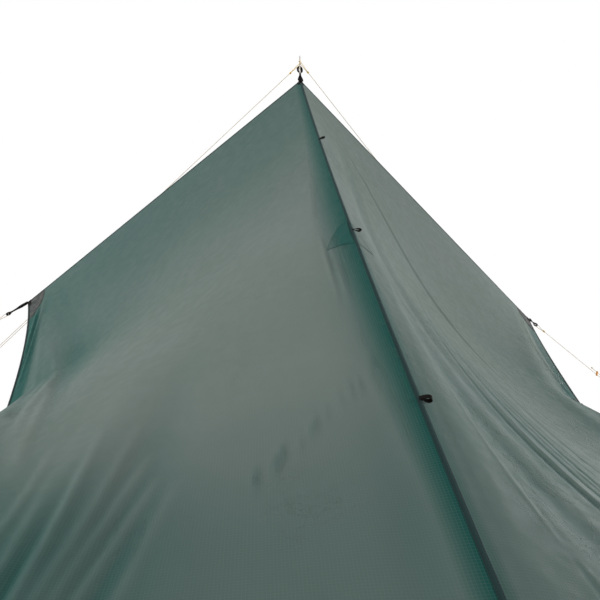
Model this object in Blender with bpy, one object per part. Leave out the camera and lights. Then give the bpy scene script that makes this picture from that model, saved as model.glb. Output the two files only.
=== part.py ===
"""Square camping tarp pitched as a half pyramid on one telescopic pole.

Metres, +Z up. The pole stands on the origin, the ridge runs forward (-Y) and
down from the peak to the ground, and the two rear corners are guyed out.
"""
import math

import bmesh
import bpy
import numpy as np
from mathutils import Matrix, Vector

# Cut of the cloth and height of the pitch
RIDGE_LENGTH = 3.000
HALF_BACK = 1.500
PEAK_HEIGHT = 2.100
PEAK_Y = -0.020
GROUND_LIFT = 0.004
RIDGE_SAG = 0.043
BACK_DROOP = math.radians(37.6)
BACK_SWEEP = math.radians(19.6)
FRONT_CORNER = (1.440, -2.040)
# Side tie-outs, as on the right; the right half is pitched slacker and hangs in a hollow
TIE_OUTS = {"left": ((0.978, -0.400, 0.621), (1.200, -1.240, 0.300)),
            "right": ((0.933, -0.385, 0.684), (1.050, -1.270, 0.250))}
SLACK = {"left": 0.0, "right": 0.100}
SIDE_BOW = (0.028, 0.060, 0.060)
SCALLOP_DEPTH = 5
FRONT_BOW = 0.030
FRONT_RISE = 0.015

# Cloth, hem, tape and patch thicknesses
CLOTH = 0.0008
HEM_WIDTH = 0.012
HEM = 0.0016
HEM_PROUD = 0.0004
GAP = 0.0003
SEAM_GAP = 0.0004
TAPE_HALF = 0.005
PEAK_PATCH_HALF = 0.014
PEAK_PATCH_LENGTH = 0.036
PATCH = 0.0008
PATCH_GAP = 0.0006
PATCH_INSET = 0.0008

# Reinforcing patches, in metres of cloth, and the cloth's width where they lie
CORNER_PATCH = (0.240, 0.080)
TIE_PATCH = (0.016, 0.030)
TIE_WIDTH = 1.25
KITE_APEX = 0.4807
KITE_WIDTH = 1.27
KITE = ((-0.014, 0.006), (-0.011, 0.038), (0.022, 0.064), (0.078, 0.086), (0.090, 0.046), (0.122, 0.006))

# Grid of the cloth: cells along the ridge, cells from the ridge to the side, and how much
# closer they lie near the ridge
ALONG = 36
ACROSS = 15
GRADE = 1.35

# Webbing
WEB_WIDTH = 0.008
WEB_THICK = 0.0012
NECK_WIDTH = 0.012
NECK_THICK = 0.0026
RIDGE_LOOPS = (0.25, 0.50, 0.75)
LOOP_REACH = 0.024
LOOP_SPAN = 0.0185
RIDGE_LOOP_SPAN = 0.0165
STRAP_LENGTHS = {"left": 0.118, "right": 0.062}
STRAP_EYE = 0.028
STRAP_EYE_SPAN = 0.016
PEAK_EYE_Z = (2.134, 2.180)
PEAK_EYE_Y = 0.0135
PEAK_EYE_SPAN = 0.026
PEAK_FOOT = (0.0, -0.0010, 0.0020)
RIDGE_LOOP_BACK = 0.004
RIDGE_LOOP_CLEAR = 0.75
SEWN_GAP = 0.0006
FRONT_CORNER_OUT = (0.72, -0.69, 0.0)
OVAL = 0.78

# Pole
TUBE_LOW_R = 0.0095
TUBE_LOW_BORE = 0.0085
TUBE_TOP_R = 0.0080
TUBE_TOP_BORE = 0.0072
TUBE_LOW_Z = (0.0083, 1.050)
TUBE_TOP_Z = (0.900, 2.060)
BUSH_Z = (0.880, 0.8997)
FOOT_R = 0.017
FOOT_HEIGHT = 0.032
PIN_R = 0.0025
PIN_Z = (2.100, 2.232)
FERRULE_Z = (2.030, 2.130)
FERRULE_R = (0.0096, 0.0062, 0.0046)
FERRULE_NECK_Z = 2.100
BUSH_BORE = 0.0040
FOOT_DISC = 0.006
FOOT_NECK_R = 0.0120
EDGE = 0.001
ROUND = 24

# Flip lock: collar, clamping ears with a slot, hinge lugs, screw, hinge pin and lever
COLLAR_Z = (1.030, 1.062)
COLLAR_R = 0.0135
EAR_HALF = 0.009
EAR_Y = (0.0112, 0.0265)
LUG_X = (0.0070, 0.0200)
LUG_Y = (0.0085, 0.0185)
LUG_HEIGHT = 0.006
SLOT_HALF = 0.001
SLOT_Y = (0.0070, 0.0300)
SCREW_Y = 0.021
SCREW_R = 0.0020
SCREW_HEAD_R = 0.0038
SCREW_HEAD_X = (0.0093, 0.0128)
HINGE = (0.016, 0.014)
HINGE_R = 0.0015
LEVER_R = (0.0165, 0.0192)
LEVER_ARC = (math.radians(36), math.radians(-62))
LEVER_FLARE = 0.0022
LEVER_HUB_R = 0.0040
CUT_PAST = 0.002

# Guylines: a 2 mm cord, a knot, a two-hole runner and a knotted tail
CORD_R = 0.001
KNOT_R = 0.0038
KNOT_LENGTH = 0.011
RUNNER_PITCH = 0.014
RUNNER_SIZE = (0.026, 0.009, 0.003)
TAIL = 0.040
TAIL_KNOT = (0.0030, 0.009)
KNOT_BORE = 0.0013
RUNNER_HOLE_R = 0.0015

# Each guyline's direction, the knot, runner and doubled length along it, and its first
# loop: half width, and how far it reaches past the anchor
PEAK_LINES = {"left": (2.373, 0.920, -2.246), "right": (2.373, 0.920, -2.455)}
CORNER_LINE = (0.810, 0.450, -0.380)
PEAK_LINE_Z = {"left": 2.191, "right": 2.2015}
PEAK_STATIONS = (0.056, 1.350, 0.520)
CORNER_STATIONS = (0.060, 0.490, 0.090)
PEAK_TURN = (0.0046, 0.0056)
CORNER_TURN = (0.0062, 0.0030)
CORNER_ANCHOR_IN = 0.0085

COLOURS = {
    "ripstop": ((0.060, 0.125, 0.108, 1), 0.42, 0.0),
    "binding": ((0.020, 0.034, 0.033, 1), 0.60, 0.0),
    "patch": ((0.075, 0.082, 0.080, 1), 0.70, 0.0),
    "webbing": ((0.010, 0.010, 0.011, 1), 0.75, 0.0),
    "cord": ((0.720, 0.640, 0.440, 1), 0.65, 0.0),
    "knot": ((0.700, 0.480, 0.110, 1), 0.65, 0.0),
    "aluminium": ((0.560, 0.560, 0.540, 1), 0.35, 1.0),
    "steel": ((0.480, 0.470, 0.430, 1), 0.30, 1.0),
    "plastic": ((0.018, 0.018, 0.020, 1), 0.45, 0.0),
    "rubber": ((0.025, 0.025, 0.026, 1), 0.85, 0.0),
    "anodised": ((0.540, 0.250, 0.030, 1), 0.40, 1.0),
}


def clear_scene():
    for obj in list(bpy.data.objects):
        bpy.data.objects.remove(obj, do_unlink=True)


def material(name):
    found = bpy.data.materials.get(name)
    if found:
        return found
    colour, rough, metal = COLOURS[name]
    made = bpy.data.materials.new(name)
    made.use_nodes = True
    made.diffuse_color = colour
    shader = made.node_tree.nodes["Principled BSDF"]
    shader.inputs["Base Color"].default_value = colour
    shader.inputs["Roughness"].default_value = rough
    shader.inputs["Metallic"].default_value = metal
    return made


def link(name, data, finish, smooth=True, matrix=None):
    obj = bpy.data.objects.new(name, data)
    bpy.context.scene.collection.objects.link(obj)
    if not data.materials:
        data.materials.append(material(finish))
    if smooth and isinstance(data, bpy.types.Mesh):
        data.shade_smooth()
        data.set_sharp_from_angle(angle=math.radians(40))
    if matrix is not None:
        obj.matrix_world = matrix
    return obj


def mesh_from(verts, faces, name):
    """A mesh with its faces turned outward."""
    data = bpy.data.meshes.new(name)
    data.from_pydata([tuple(v) for v in verts], [], faces)
    bm = bmesh.new()
    bm.from_mesh(data)
    bmesh.ops.recalc_face_normals(bm, faces=bm.faces)
    bm.to_mesh(data)
    bm.free()
    return data


def unit(v):
    v = np.asarray(v, float)
    return v / np.linalg.norm(v)


# The pitch: corner points of the right half, with x > 0

def pitch():
    run = math.sqrt(RIDGE_LENGTH ** 2 - PEAK_HEIGHT ** 2)
    peak = np.array([0.0, PEAK_Y, PEAK_HEIGHT])
    front = np.array([0.0, PEAK_Y - run, GROUND_LIFT])
    reach = HALF_BACK * math.cos(BACK_DROOP)
    rear = peak + np.array([reach * math.cos(BACK_SWEEP), reach * math.sin(BACK_SWEEP),
                            -HALF_BACK * math.sin(BACK_DROOP)])
    corner = np.array([FRONT_CORNER[0], FRONT_CORNER[1], GROUND_LIFT])
    return peak, front, rear, corner


PEAK, FRONT, REAR, CORNER = pitch()
TIES = {half: (REAR, *np.array(outs), CORNER) for half, outs in TIE_OUTS.items()}
RIDGE_DIR = unit(FRONT - PEAK)


def ridge(u):
    down = unit((0.0, -RIDGE_DIR[2], RIDGE_DIR[1]))
    return PEAK + (FRONT - PEAK) * u + down * RIDGE_SAG * 4 * u * (1 - u)


def side(u, half):
    """Outer edge: three scallops between the rear corner, two tie-outs and the ground."""
    k = min(int(u * 3), 2)
    t = u * 3 - k
    a, b = TIES[half][k], TIES[half][k + 1]
    inward = ridge((k + 0.5) / 3) - (a + b) / 2
    inward = unit(inward - (b - a) * (inward @ (b - a)) / ((b - a) @ (b - a)))
    return a + (b - a) * t + inward * SIDE_BOW[k] * 4 * t * (1 - t)


def side_smooth(u, half):
    """The same edge without its scallops: a smooth curve through the tie-outs."""
    k = min(int(u * 3), 2)
    t = u * 3 - k
    ties = TIES[half]
    before = ties[k - 1] if k > 0 else 2 * ties[0] - ties[1]
    after = ties[k + 2] if k < 2 else 2 * ties[3] - ties[2]
    a, b = ties[k], ties[k + 1]
    bend = (2 * before - 5 * a + 4 * b - after) * t + (3 * a - before - 3 * b + after) * t * t
    return a + 0.5 * t * (b - before + bend)


def back(v):
    return PEAK + (REAR - PEAK) * v


def front(v):
    arch = 4 * v * (1 - v)
    return FRONT + (CORNER - FRONT) * v + np.array([0.0, FRONT_BOW, FRONT_RISE]) * arch


def base_surface(u, v, half):
    """Surface stretched between the four edges of one half, with x > 0."""
    blend = (1 - v) * ridge(u) + v * side_smooth(u, half) + (1 - u) * back(v) + u * front(v)
    flat = (1 - u) * (1 - v) * PEAK + u * (1 - v) * FRONT + (1 - u) * v * REAR + u * v * CORNER
    return blend - flat + (side(u, half) - side_smooth(u, half)) * v ** SCALLOP_DEPTH


def surface_normal(u, v, half):
    step = 0.004
    u0, u1 = max(u - step, 0.0), min(u + step, 1.0)
    v0, v1 = max(v - step, 0.0), min(v + step, 1.0)
    du = base_surface(u1, v, half) - base_surface(u0, v, half)
    dv = base_surface(u, v1, half) - base_surface(u, v0, half)
    return unit(np.cross(du, dv))


# Main folds: three points (u, v) on the crest, height, half width across in v
FOLDS = {
    "left": (
        (((0.03, 0.96), (0.32, 0.90), (0.75, 0.58)), 0.010, 0.050),
        (((0.04, 0.90), (0.32, 0.79), (0.80, 0.50)), -0.008, 0.055),
        (((0.60, 0.44), (0.80, 0.45), (1.00, 0.48)), 0.009, 0.045),
        (((0.60, 0.35), (0.80, 0.37), (1.00, 0.40)), -0.008, 0.045),
        (((0.35, 0.05), (0.65, 0.05), (1.00, 0.06)), -0.006, 0.035),
    ),
    "right": (
        (((0.03, 0.95), (0.24, 0.90), (0.60, 0.84)), 0.007, 0.050),
        (((0.10, 0.13), (0.42, 0.19), (0.85, 0.26)), -0.007, 0.035),
        (((0.55, 0.12), (0.72, 0.15), (1.00, 0.25)), -0.006, 0.035),
        (((0.14, 0.10), (0.50, 0.08), (1.00, 0.04)), 0.006, 0.035),
    ),
}
FADE_SEAM = 0.04
FADE_SIDE = 0.10
FADE_ENDS = 0.06
SWELL = 0.7


def crest(points, u):
    """v of a fold's crest at u, on the parabola through its three points."""
    total = 0.0
    for k, (u_k, v_k) in enumerate(points):
        share = v_k
        for other, _ in points[:k] + points[k + 1:]:
            share *= (u - other) / (u_k - other)
        total += share
    return total


def fold_height(u, v, half):
    total = 0.0
    for points, height, width in FOLDS[half]:
        t = (u - points[0][0]) / (points[-1][0] - points[0][0])
        if 0.0 < t < 1.0:
            swell = math.sin(math.pi * t) ** SWELL
            total += height * swell * math.exp(-((v - crest(points, u)) / width) ** 2)
    edge = min(1.0, v / FADE_SEAM, (1 - v) / FADE_SIDE, u / FADE_ENDS, (1 - u) / FADE_ENDS)
    return total * max(edge, 0.0)


def hollow(u, v, half):
    """How far the slack half hangs below the stretched surface."""
    return SLACK[half] * math.sin(math.pi * u) * math.sin(math.pi * v)


HALVES = {"left": -1.0, "right": 1.0}


def cloth_point(u, v, half, proud=0.0):
    """A point on, or this far outside, the outer face of one half."""
    n = surface_normal(u, v, half)
    p = base_surface(u, v, half) + n * (fold_height(u, v, half) - hollow(u, v, half))
    if v == 0.0:
        flat = unit((0.0, n[1], n[2]))
        p = p + flat * proud / (flat @ n)
        p[0] = SEAM_GAP / 2
    else:
        p = p + n * proud
    return p * np.array([HALVES[half], 1.0, 1.0])


HEM_U = HEM_WIDTH / RIDGE_LENGTH
HEM_V = HEM_WIDTH / HALF_BACK
U_LINES = [HEM_U] + [i / ALONG for i in range(1, ALONG)] + [1 - HEM_U]
V_LINES = [(j / ACROSS) ** GRADE for j in range(ACROSS)] + [1 - HEM_V]


def slab(outer, inner, name):
    """Closed solid between two matching grids of points."""
    rows, cols = len(outer), len(outer[0])
    verts = [p for row in outer for p in row] + [p for row in inner for p in row]
    under = rows * cols

    def at(i, j):
        return i * cols + j

    faces = []
    for i in range(rows - 1):
        for j in range(cols - 1):
            quad = (at(i, j), at(i + 1, j), at(i + 1, j + 1), at(i, j + 1))
            faces.append((quad[0], quad[1], quad[2]))
            faces.append((quad[0], quad[2], quad[3]))
            faces.append((under + quad[0], under + quad[2], under + quad[1]))
            faces.append((under + quad[0], under + quad[3], under + quad[2]))
    rim = [at(0, j) for j in range(cols)] + [at(i, cols - 1) for i in range(1, rows)]
    rim += [at(rows - 1, j) for j in range(cols - 2, -1, -1)] + [at(i, 0) for i in range(rows - 2, 0, -1)]
    for a, b in zip(rim, rim[1:] + rim[:1]):
        faces.append((a, b, under + b, under + a))
    return mesh_from(verts, faces, name)


def panel(half):
    outer = [[cloth_point(u, v, half) for v in V_LINES] for u in U_LINES]
    inner = [[cloth_point(u, v, half, -CLOTH) for v in V_LINES] for u in U_LINES]
    return link(f"{half}_panel", slab(outer, inner, f"{half}_panel"), "ripstop")


def hem(half):
    """Folded edge binding: back edge, side edge and front edge in one run."""
    gap_u = GAP / RIDGE_LENGTH
    gap_v = GAP / HALF_BACK
    near_u, far_u, near_v = HEM_U - gap_u, 1 - HEM_U + gap_u, 1 - HEM_V + gap_v
    stations = [((near_u, v), (0.0, v)) for v in V_LINES[:-1]]
    stations.append(((near_u, near_v), (0.0, 1.0)))
    stations += [((u, near_v), (u, 1.0)) for u in U_LINES[1:-1]]
    stations.append(((far_u, near_v), (1.0, 1.0)))
    stations += [((far_u, v), (1.0, v)) for v in reversed(V_LINES[:-1])]
    top = [[cloth_point(u, v, half, HEM_PROUD) for u, v in pair] for pair in stations]
    low = [[cloth_point(u, v, half, HEM_PROUD - HEM) for u, v in pair] for pair in stations]
    return link(f"{half}_hem", slab(top, low, f"{half}_hem"), "binding")


def ridge_station(u, half_width, low, high):
    """Bottom and top points of a strip folded over the ridge at u."""
    rows = []
    for lift in (high, low):
        row = []
        for half in ("left", None, "right"):
            if half is None:
                mid = cloth_point(u, 0.0, "right", lift)
                mid[0] = 0.0
                row.append(mid)
                continue
            a = cloth_point(u, 0.0, half, lift)
            b = cloth_point(u, V_LINES[1], half, lift)
            row.append(a + unit(b - a) * half_width)
        rows.append(row)
    return rows


def ridge_strip(name, stations, half_width, finish):
    pairs = [ridge_station(u, half_width, PATCH_GAP, PATCH_GAP + PATCH) for u in stations]
    data = slab([p[0] for p in pairs], [p[1] for p in pairs], name)
    return link(name, data, finish)


def facet_point(u, v, half, proud_dir, proud):
    """A point on the flat facet of the panel under (u, v), lifted along one direction."""
    i = min(max(np.searchsorted(U_LINES, u) - 1, 0), ALONG - 1)
    j = min(max(np.searchsorted(V_LINES, v) - 1, 0), ACROSS - 1)
    u0, u1, v0, v1 = U_LINES[i], U_LINES[i + 1], V_LINES[j], V_LINES[j + 1]
    a, b = (u - u0) / (u1 - u0), (v - v0) / (v1 - v0)
    p00 = cloth_point(u0, v0, half)
    p11 = cloth_point(u1, v1, half)
    if a >= b:
        p10 = cloth_point(u1, v0, half)
        point = p00 + (p10 - p00) * a + (p11 - p10) * b
    else:
        p01 = cloth_point(u0, v1, half)
        point = p00 + (p01 - p00) * b + (p11 - p01) * a
    return point + proud_dir * proud


def split_by_grid(outline):
    """The outline polygon cut along the panel's facet edges, as (u, v) polygons."""
    bm = bmesh.new()
    bm.faces.new([bm.verts.new((u, v, 0.0)) for u, v in outline])
    us = [p[0] for p in outline]
    vs = [p[1] for p in outline]

    def cut(origin, normal):
        geom = bm.verts[:] + bm.edges[:] + bm.faces[:]
        bmesh.ops.bisect_plane(bm, geom=geom, plane_co=origin, plane_no=normal, dist=1e-7)

    rows = [i for i in range(ALONG) if U_LINES[i + 1] > min(us) and U_LINES[i] < max(us)]
    cols = [j for j in range(ACROSS) if V_LINES[j + 1] > min(vs) and V_LINES[j] < max(vs)]
    for i in rows[1:]:
        cut((U_LINES[i], 0, 0), (1, 0, 0))
    for j in cols[1:]:
        cut((0, V_LINES[j], 0), (0, 1, 0))
    for i in rows:
        for j in cols:
            du, dv = U_LINES[i + 1] - U_LINES[i], V_LINES[j + 1] - V_LINES[j]
            inside = [f for f in bm.faces
                      if U_LINES[i] < f.calc_center_median().x < U_LINES[i + 1]
                      and V_LINES[j] < f.calc_center_median().y < V_LINES[j + 1]]
            geom = inside + list({e for f in inside for e in f.edges})
            geom += list({v for f in inside for v in f.verts})
            bmesh.ops.bisect_plane(bm, geom=geom, plane_co=(U_LINES[i], V_LINES[j], 0),
                                   plane_no=(dv, -du, 0), dist=1e-7)
    bmesh.ops.triangulate(bm, faces=bm.faces)
    bm.verts.index_update()
    verts = [(v.co.x, v.co.y) for v in bm.verts]
    faces = [tuple(v.index for v in f.verts) for f in bm.faces]
    rim = [tuple(v.index for v in e.verts) for e in bm.edges if len(e.link_faces) == 1]
    bm.free()
    return verts, faces, rim


def patch(name, half, outline, finish):
    """Reinforcement sewn flat on the outer face."""
    middle = np.mean(outline, axis=0)
    lift = surface_normal(*middle, half) * np.array([HALVES[half], 1.0, 1.0])
    points, faces, rim = split_by_grid(outline)
    low = [facet_point(u, v, half, lift, PATCH_GAP) for u, v in points]
    top = [facet_point(u, v, half, lift, PATCH_GAP + PATCH) for u, v in points]
    count = len(points)
    solid = list(faces) + [tuple(count + k for k in reversed(f)) for f in faces]
    solid += [(a, b, count + b, count + a) for a, b in rim]
    return link(name, mesh_from(low + top, solid, name), finish)


def arc_points(centre, a, b, start, end, steps):
    angles = [start + (end - start) * k / steps for k in range(steps + 1)]
    return [(centre[0] + a * math.cos(t), centre[1] + b * math.sin(t)) for t in angles]


def corner_outline(at_front):
    """Kite-shaped corner piece with a rounded inner side."""
    long_u, long_v = CORNER_PATCH[0] / RIDGE_LENGTH, CORNER_PATCH[1] / HALF_BACK
    edge_u, edge_v = HEM_U + PATCH_INSET, 1 - HEM_V - PATCH_INSET
    bulge = arc_points((edge_u, edge_v), long_u, -long_v, 0.0, math.pi / 2, 8)
    outline = [(edge_u, edge_v)] + bulge
    if at_front:
        outline = [(1 - u, v) for u, v in outline]
    return outline


def tie_outline(u_mid):
    """Small pointed piece under a side tie-out."""
    half_u, deep_v = TIE_PATCH[0] / RIDGE_LENGTH, TIE_PATCH[1] / TIE_WIDTH
    edge_v = 1 - HEM_V - PATCH_INSET
    shape = ((-1.0, 0.0), (-0.5, 0.7), (0.0, 1.0), (0.5, 0.7), (1.0, 0.0))
    return [(u_mid + half_u * a, edge_v - deep_v * b) for a, b in shape]


def centre_outline():
    """Half of the kite sewn across the middle of the ridge."""
    return [(KITE_APEX + down / RIDGE_LENGTH, across / KITE_WIDTH) for down, across in KITE]


# Webbing

def band(path, width_dir, width, thick, closed=True):
    """Flat webbing swept along a path, its width along one fixed direction."""
    path = [np.asarray(p, float) for p in path]
    w = unit(width_dir)
    count = len(path)
    verts = []
    for k, p in enumerate(path):
        if closed:
            tangent = path[(k + 1) % count] - path[k - 1]
        else:
            tangent = path[min(k + 1, count - 1)] - path[max(k - 1, 0)]
        out = unit(np.cross(unit(tangent), w))
        for sign_w, sign_o in ((-1, -1), (1, -1), (1, 1), (-1, 1)):
            verts.append(p + w * sign_w * width / 2 + out * sign_o * thick / 2)
    faces = []
    for k in range(count if closed else count - 1):
        a, b = 4 * k, 4 * ((k + 1) % count)
        for s in range(4):
            t = (s + 1) % 4
            faces.append((a + s, a + t, b + t, b + s))
    if not closed:
        faces.append((3, 2, 1, 0))
        last = 4 * (count - 1)
        faces.append((last, last + 1, last + 2, last + 3))
    return verts, faces


def ring_path(start, out_dir, span_dir, reach, span, steps=14):
    """Closed oval from `start` outward; the centreline of a loop of webbing."""
    middle = start + out_dir * reach / 2
    path = []
    for k in range(steps):
        t = 2 * math.pi * k / steps
        c, s = math.cos(t), math.sin(t)
        a = math.copysign(abs(c) ** OVAL, c) * reach / 2
        b = math.copysign(abs(s) ** OVAL, s) * span / 2
        path.append(middle + out_dir * a + span_dir * b)
    return path


def loop(name, anchor, out_dir, span_dir, clearance=GAP, span=LOOP_SPAN):
    out_dir = unit(out_dir)
    span_dir = unit(span_dir - out_dir * (span_dir @ out_dir))
    start = anchor + out_dir * (clearance + WEB_THICK / 2)
    path = ring_path(start, out_dir, span_dir, LOOP_REACH - WEB_THICK, span - WEB_THICK)
    verts, faces = band(path, np.cross(out_dir, span_dir), WEB_WIDTH, WEB_THICK)
    return link(name, mesh_from(verts, faces, name), "webbing", smooth=False)


def union(name, first, second):
    """One webbing solid from two that overlap."""
    made = [link(f"{name}_{k}", data, "webbing") for k, data in enumerate((first, second))]
    join = made[0].modifiers.new("join", "BOOLEAN")
    join.operation = "UNION"
    join.solver = "EXACT"
    join.object = made[1]
    graph = bpy.context.evaluated_depsgraph_get()
    data = bpy.data.meshes.new_from_object(made[0].evaluated_get(graph))
    for obj in made:
        bpy.data.objects.remove(obj, do_unlink=True)
    data.name = name
    return data


def eye_strap(name, base, flat_dir, eye_start, eye_dir, eye_reach, eye_span):
    """A strap of doubled webbing that opens into an eye at its end."""
    eye_dir, flat_dir = unit(eye_dir), unit(flat_dir)
    start = eye_start + eye_dir * WEB_THICK / 2
    path = ring_path(start, eye_dir, flat_dir, eye_reach - WEB_THICK, eye_span - WEB_THICK)
    verts, faces = band(path, np.cross(eye_dir, flat_dir), WEB_WIDTH, WEB_THICK)
    eye = mesh_from(verts, faces, name + "_eye")
    run = [base, (base + eye_start) / 2, eye_start + eye_dir * WEB_THICK * 0.6]
    neck_verts, neck_faces = band(run, flat_dir, NECK_WIDTH, NECK_THICK, closed=False)
    neck = mesh_from(neck_verts, neck_faces, name + "_neck")
    return link(name, union(name, eye, neck), "webbing", smooth=False)


# Turned pieces

def turned(name, profile, finish, matrix=None, steps=ROUND):
    """A profile of (radius, height) points, closed on itself, spun about the z axis."""
    bm = bmesh.new()
    verts = [bm.verts.new((r, 0.0, z)) for r, z in profile]
    edges = [bm.edges.new((a, b)) for a, b in zip(verts, verts[1:])]
    if profile[0][0] > 0 or profile[-1][0] > 0:
        edges.append(bm.edges.new((verts[-1], verts[0])))
    bmesh.ops.spin(bm, geom=verts + edges, cent=(0, 0, 0), axis=(0, 0, 1), angle=2 * math.pi,
                   steps=steps, use_merge=True, use_duplicate=False)
    bmesh.ops.remove_doubles(bm, verts=bm.verts, dist=1e-6)
    bmesh.ops.recalc_face_normals(bm, faces=bm.faces)
    data = bpy.data.meshes.new(name)
    bm.to_mesh(data)
    bm.free()
    return link(name, data, finish, matrix=matrix)


def tube_profile(bore, outer, z0, z1):
    return [(bore, z0), (outer, z0), (outer, z1), (bore, z1)]


def box(name, low, high, finish):
    bm = bmesh.new()
    bmesh.ops.create_cube(bm, size=1.0)
    size = [b - a for a, b in zip(low, high)]
    mid = [(a + b) / 2 for a, b in zip(low, high)]
    bmesh.ops.transform(bm, matrix=Matrix.Translation(mid) @ Matrix.Diagonal((*size, 1.0)), verts=bm.verts)
    data = bpy.data.meshes.new(name)
    bm.to_mesh(data)
    bm.free()
    return link(name, data, finish, smooth=False)


def rod(name, a, b, radius, finish, steps=12):
    """A plain round bar from a to b."""
    a, b = Vector(a), Vector(b)
    bm = bmesh.new()
    bmesh.ops.create_cone(bm, cap_ends=True, segments=steps, radius1=radius, radius2=radius,
                          depth=(b - a).length)
    turn = Vector((0, 0, 1)).rotation_difference(b - a).to_matrix().to_4x4()
    bmesh.ops.transform(bm, matrix=Matrix.Translation((a + b) / 2) @ turn, verts=bm.verts)
    data = bpy.data.meshes.new(name)
    bm.to_mesh(data)
    bm.free()
    return link(name, data, finish)


def combine(target, tools, operation):
    """Boolean modifiers on `target`, with its tools kept as hidden guides."""
    for tool in tools:
        tool.hide_render = True
        tool.display_type = "WIRE"
        cut = target.modifiers.new(tool.name, "BOOLEAN")
        cut.operation = operation
        cut.solver = "EXACT"
        cut.object = tool
    return target


def pole():
    cup, floor = TUBE_LOW_R + GAP, TUBE_LOW_Z[0] - GAP
    foot = [(0.0, 0.0), (FOOT_R - EDGE, 0.0), (FOOT_R, EDGE), (FOOT_R, FOOT_DISC),
            (FOOT_NECK_R, 2 * FOOT_DISC), (FOOT_NECK_R, FOOT_HEIGHT - EDGE),
            (FOOT_NECK_R - EDGE, FOOT_HEIGHT), (cup, FOOT_HEIGHT), (cup, floor), (0.0, floor)]
    turned("pole_foot", foot, "rubber")
    turned("pole_lower_tube", tube_profile(TUBE_LOW_BORE, TUBE_LOW_R, *TUBE_LOW_Z), "aluminium")
    turned("pole_upper_tube", tube_profile(TUBE_TOP_BORE, TUBE_TOP_R, *TUBE_TOP_Z), "aluminium")
    turned("pole_bush", tube_profile(BUSH_BORE, TUBE_LOW_BORE - GAP, *BUSH_Z), "plastic")
    z0, z1 = FERRULE_Z
    wide, shoulder, tip = FERRULE_R
    cup_r, cup_z = TUBE_TOP_R + GAP, TUBE_TOP_Z[1] + GAP
    hole_r, hole_z = PIN_R + GAP, PIN_Z[0] - GAP
    ferrule = [(cup_r, z0), (wide - EDGE / 4, z0), (wide, z0 + EDGE), (wide - EDGE / 2, cup_z),
               (shoulder, FERRULE_NECK_Z), (tip, z1 - EDGE), (tip - EDGE / 2, z1), (hole_r, z1),
               (hole_r, hole_z), (0.0, hole_z), (0.0, cup_z), (cup_r, cup_z)]
    turned("pole_ferrule", ferrule, "plastic")
    z0, z1 = PIN_Z
    pin = [(0.0, z0), (PIN_R, z0), (PIN_R, z1 - 3 * EDGE), (PIN_R * 0.6, z1 - EDGE / 2), (0.0, z1)]
    turned("pole_tip_pin", pin, "steel", steps=16)


def lock():
    """Flip lock that clamps the lower tube round the upper one."""
    z0, z1 = COLLAR_Z
    mid_z = (z0 + z1) / 2
    lip_z = TUBE_LOW_Z[1] + GAP
    bore, lip = TUBE_LOW_R + GAP, TUBE_TOP_R + GAP
    body = [(bore, z0), (COLLAR_R - EDGE, z0), (COLLAR_R, z0 + EDGE), (COLLAR_R, z1 - 2 * EDGE),
            (COLLAR_R - 2 * EDGE, z1), (lip, z1), (lip, lip_z), (bore, lip_z)]
    collar = turned("lock_collar", body, "plastic", steps=32)
    added = [box("lock_ear_guide", (-EAR_HALF, EAR_Y[0], z0 + 3 * EDGE),
                 (EAR_HALF, EAR_Y[1], z1 - 4 * EDGE), "plastic")]
    for k, low in enumerate((z0, z1 - LUG_HEIGHT)):
        added.append(box(f"lock_lug_guide_{k}", (LUG_X[0], LUG_Y[0], low),
                         (LUG_X[1], LUG_Y[1], low + LUG_HEIGHT), "plastic"))
    combine(collar, added, "UNION")
    below, above, reach = z0 - CUT_PAST, z1 + CUT_PAST, EAR_HALF + CUT_PAST
    slot = box("lock_slot_guide", (-SLOT_HALF, SLOT_Y[0], below), (SLOT_HALF, SLOT_Y[1], above), "plastic")
    hole = rod("lock_screw_guide", (-reach, SCREW_Y, mid_z), (reach, SCREW_Y, mid_z), SCREW_R + GAP, "plastic")
    hinge_hole = rod("lock_hinge_guide", (*HINGE, below), (*HINGE, above), HINGE_R + GAP, "plastic")
    combine(collar, (slot, hole, hinge_hole), "DIFFERENCE")

    across = Matrix.Translation((0, SCREW_Y, mid_z)) @ Matrix.Rotation(math.pi / 2, 4, "Y")
    near, far = SCREW_HEAD_X
    screw = [(0.0, -far), (SCREW_HEAD_R - EDGE / 4, -far), (SCREW_HEAD_R, EDGE - far), (SCREW_HEAD_R, -near),
             (SCREW_R, -near), (SCREW_R, far - GAP), (0.0, far - GAP)]
    turned("lock_screw", screw, "steel", across, steps=16)
    nut = [(SCREW_R + GAP, near), (SCREW_HEAD_R, near), (SCREW_HEAD_R, far - EDGE / 2),
           (SCREW_HEAD_R - EDGE / 2, far), (SCREW_R + GAP, far)]
    turned("lock_nut", nut, "steel", across, steps=16)
    rod("lock_hinge_pin", (*HINGE, z0 - EDGE / 2), (*HINGE, z1 + EDGE / 2), HINGE_R, "steel")
    lever(z0 + LUG_HEIGHT + EDGE / 2, z1 - LUG_HEIGHT - EDGE / 2)


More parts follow.
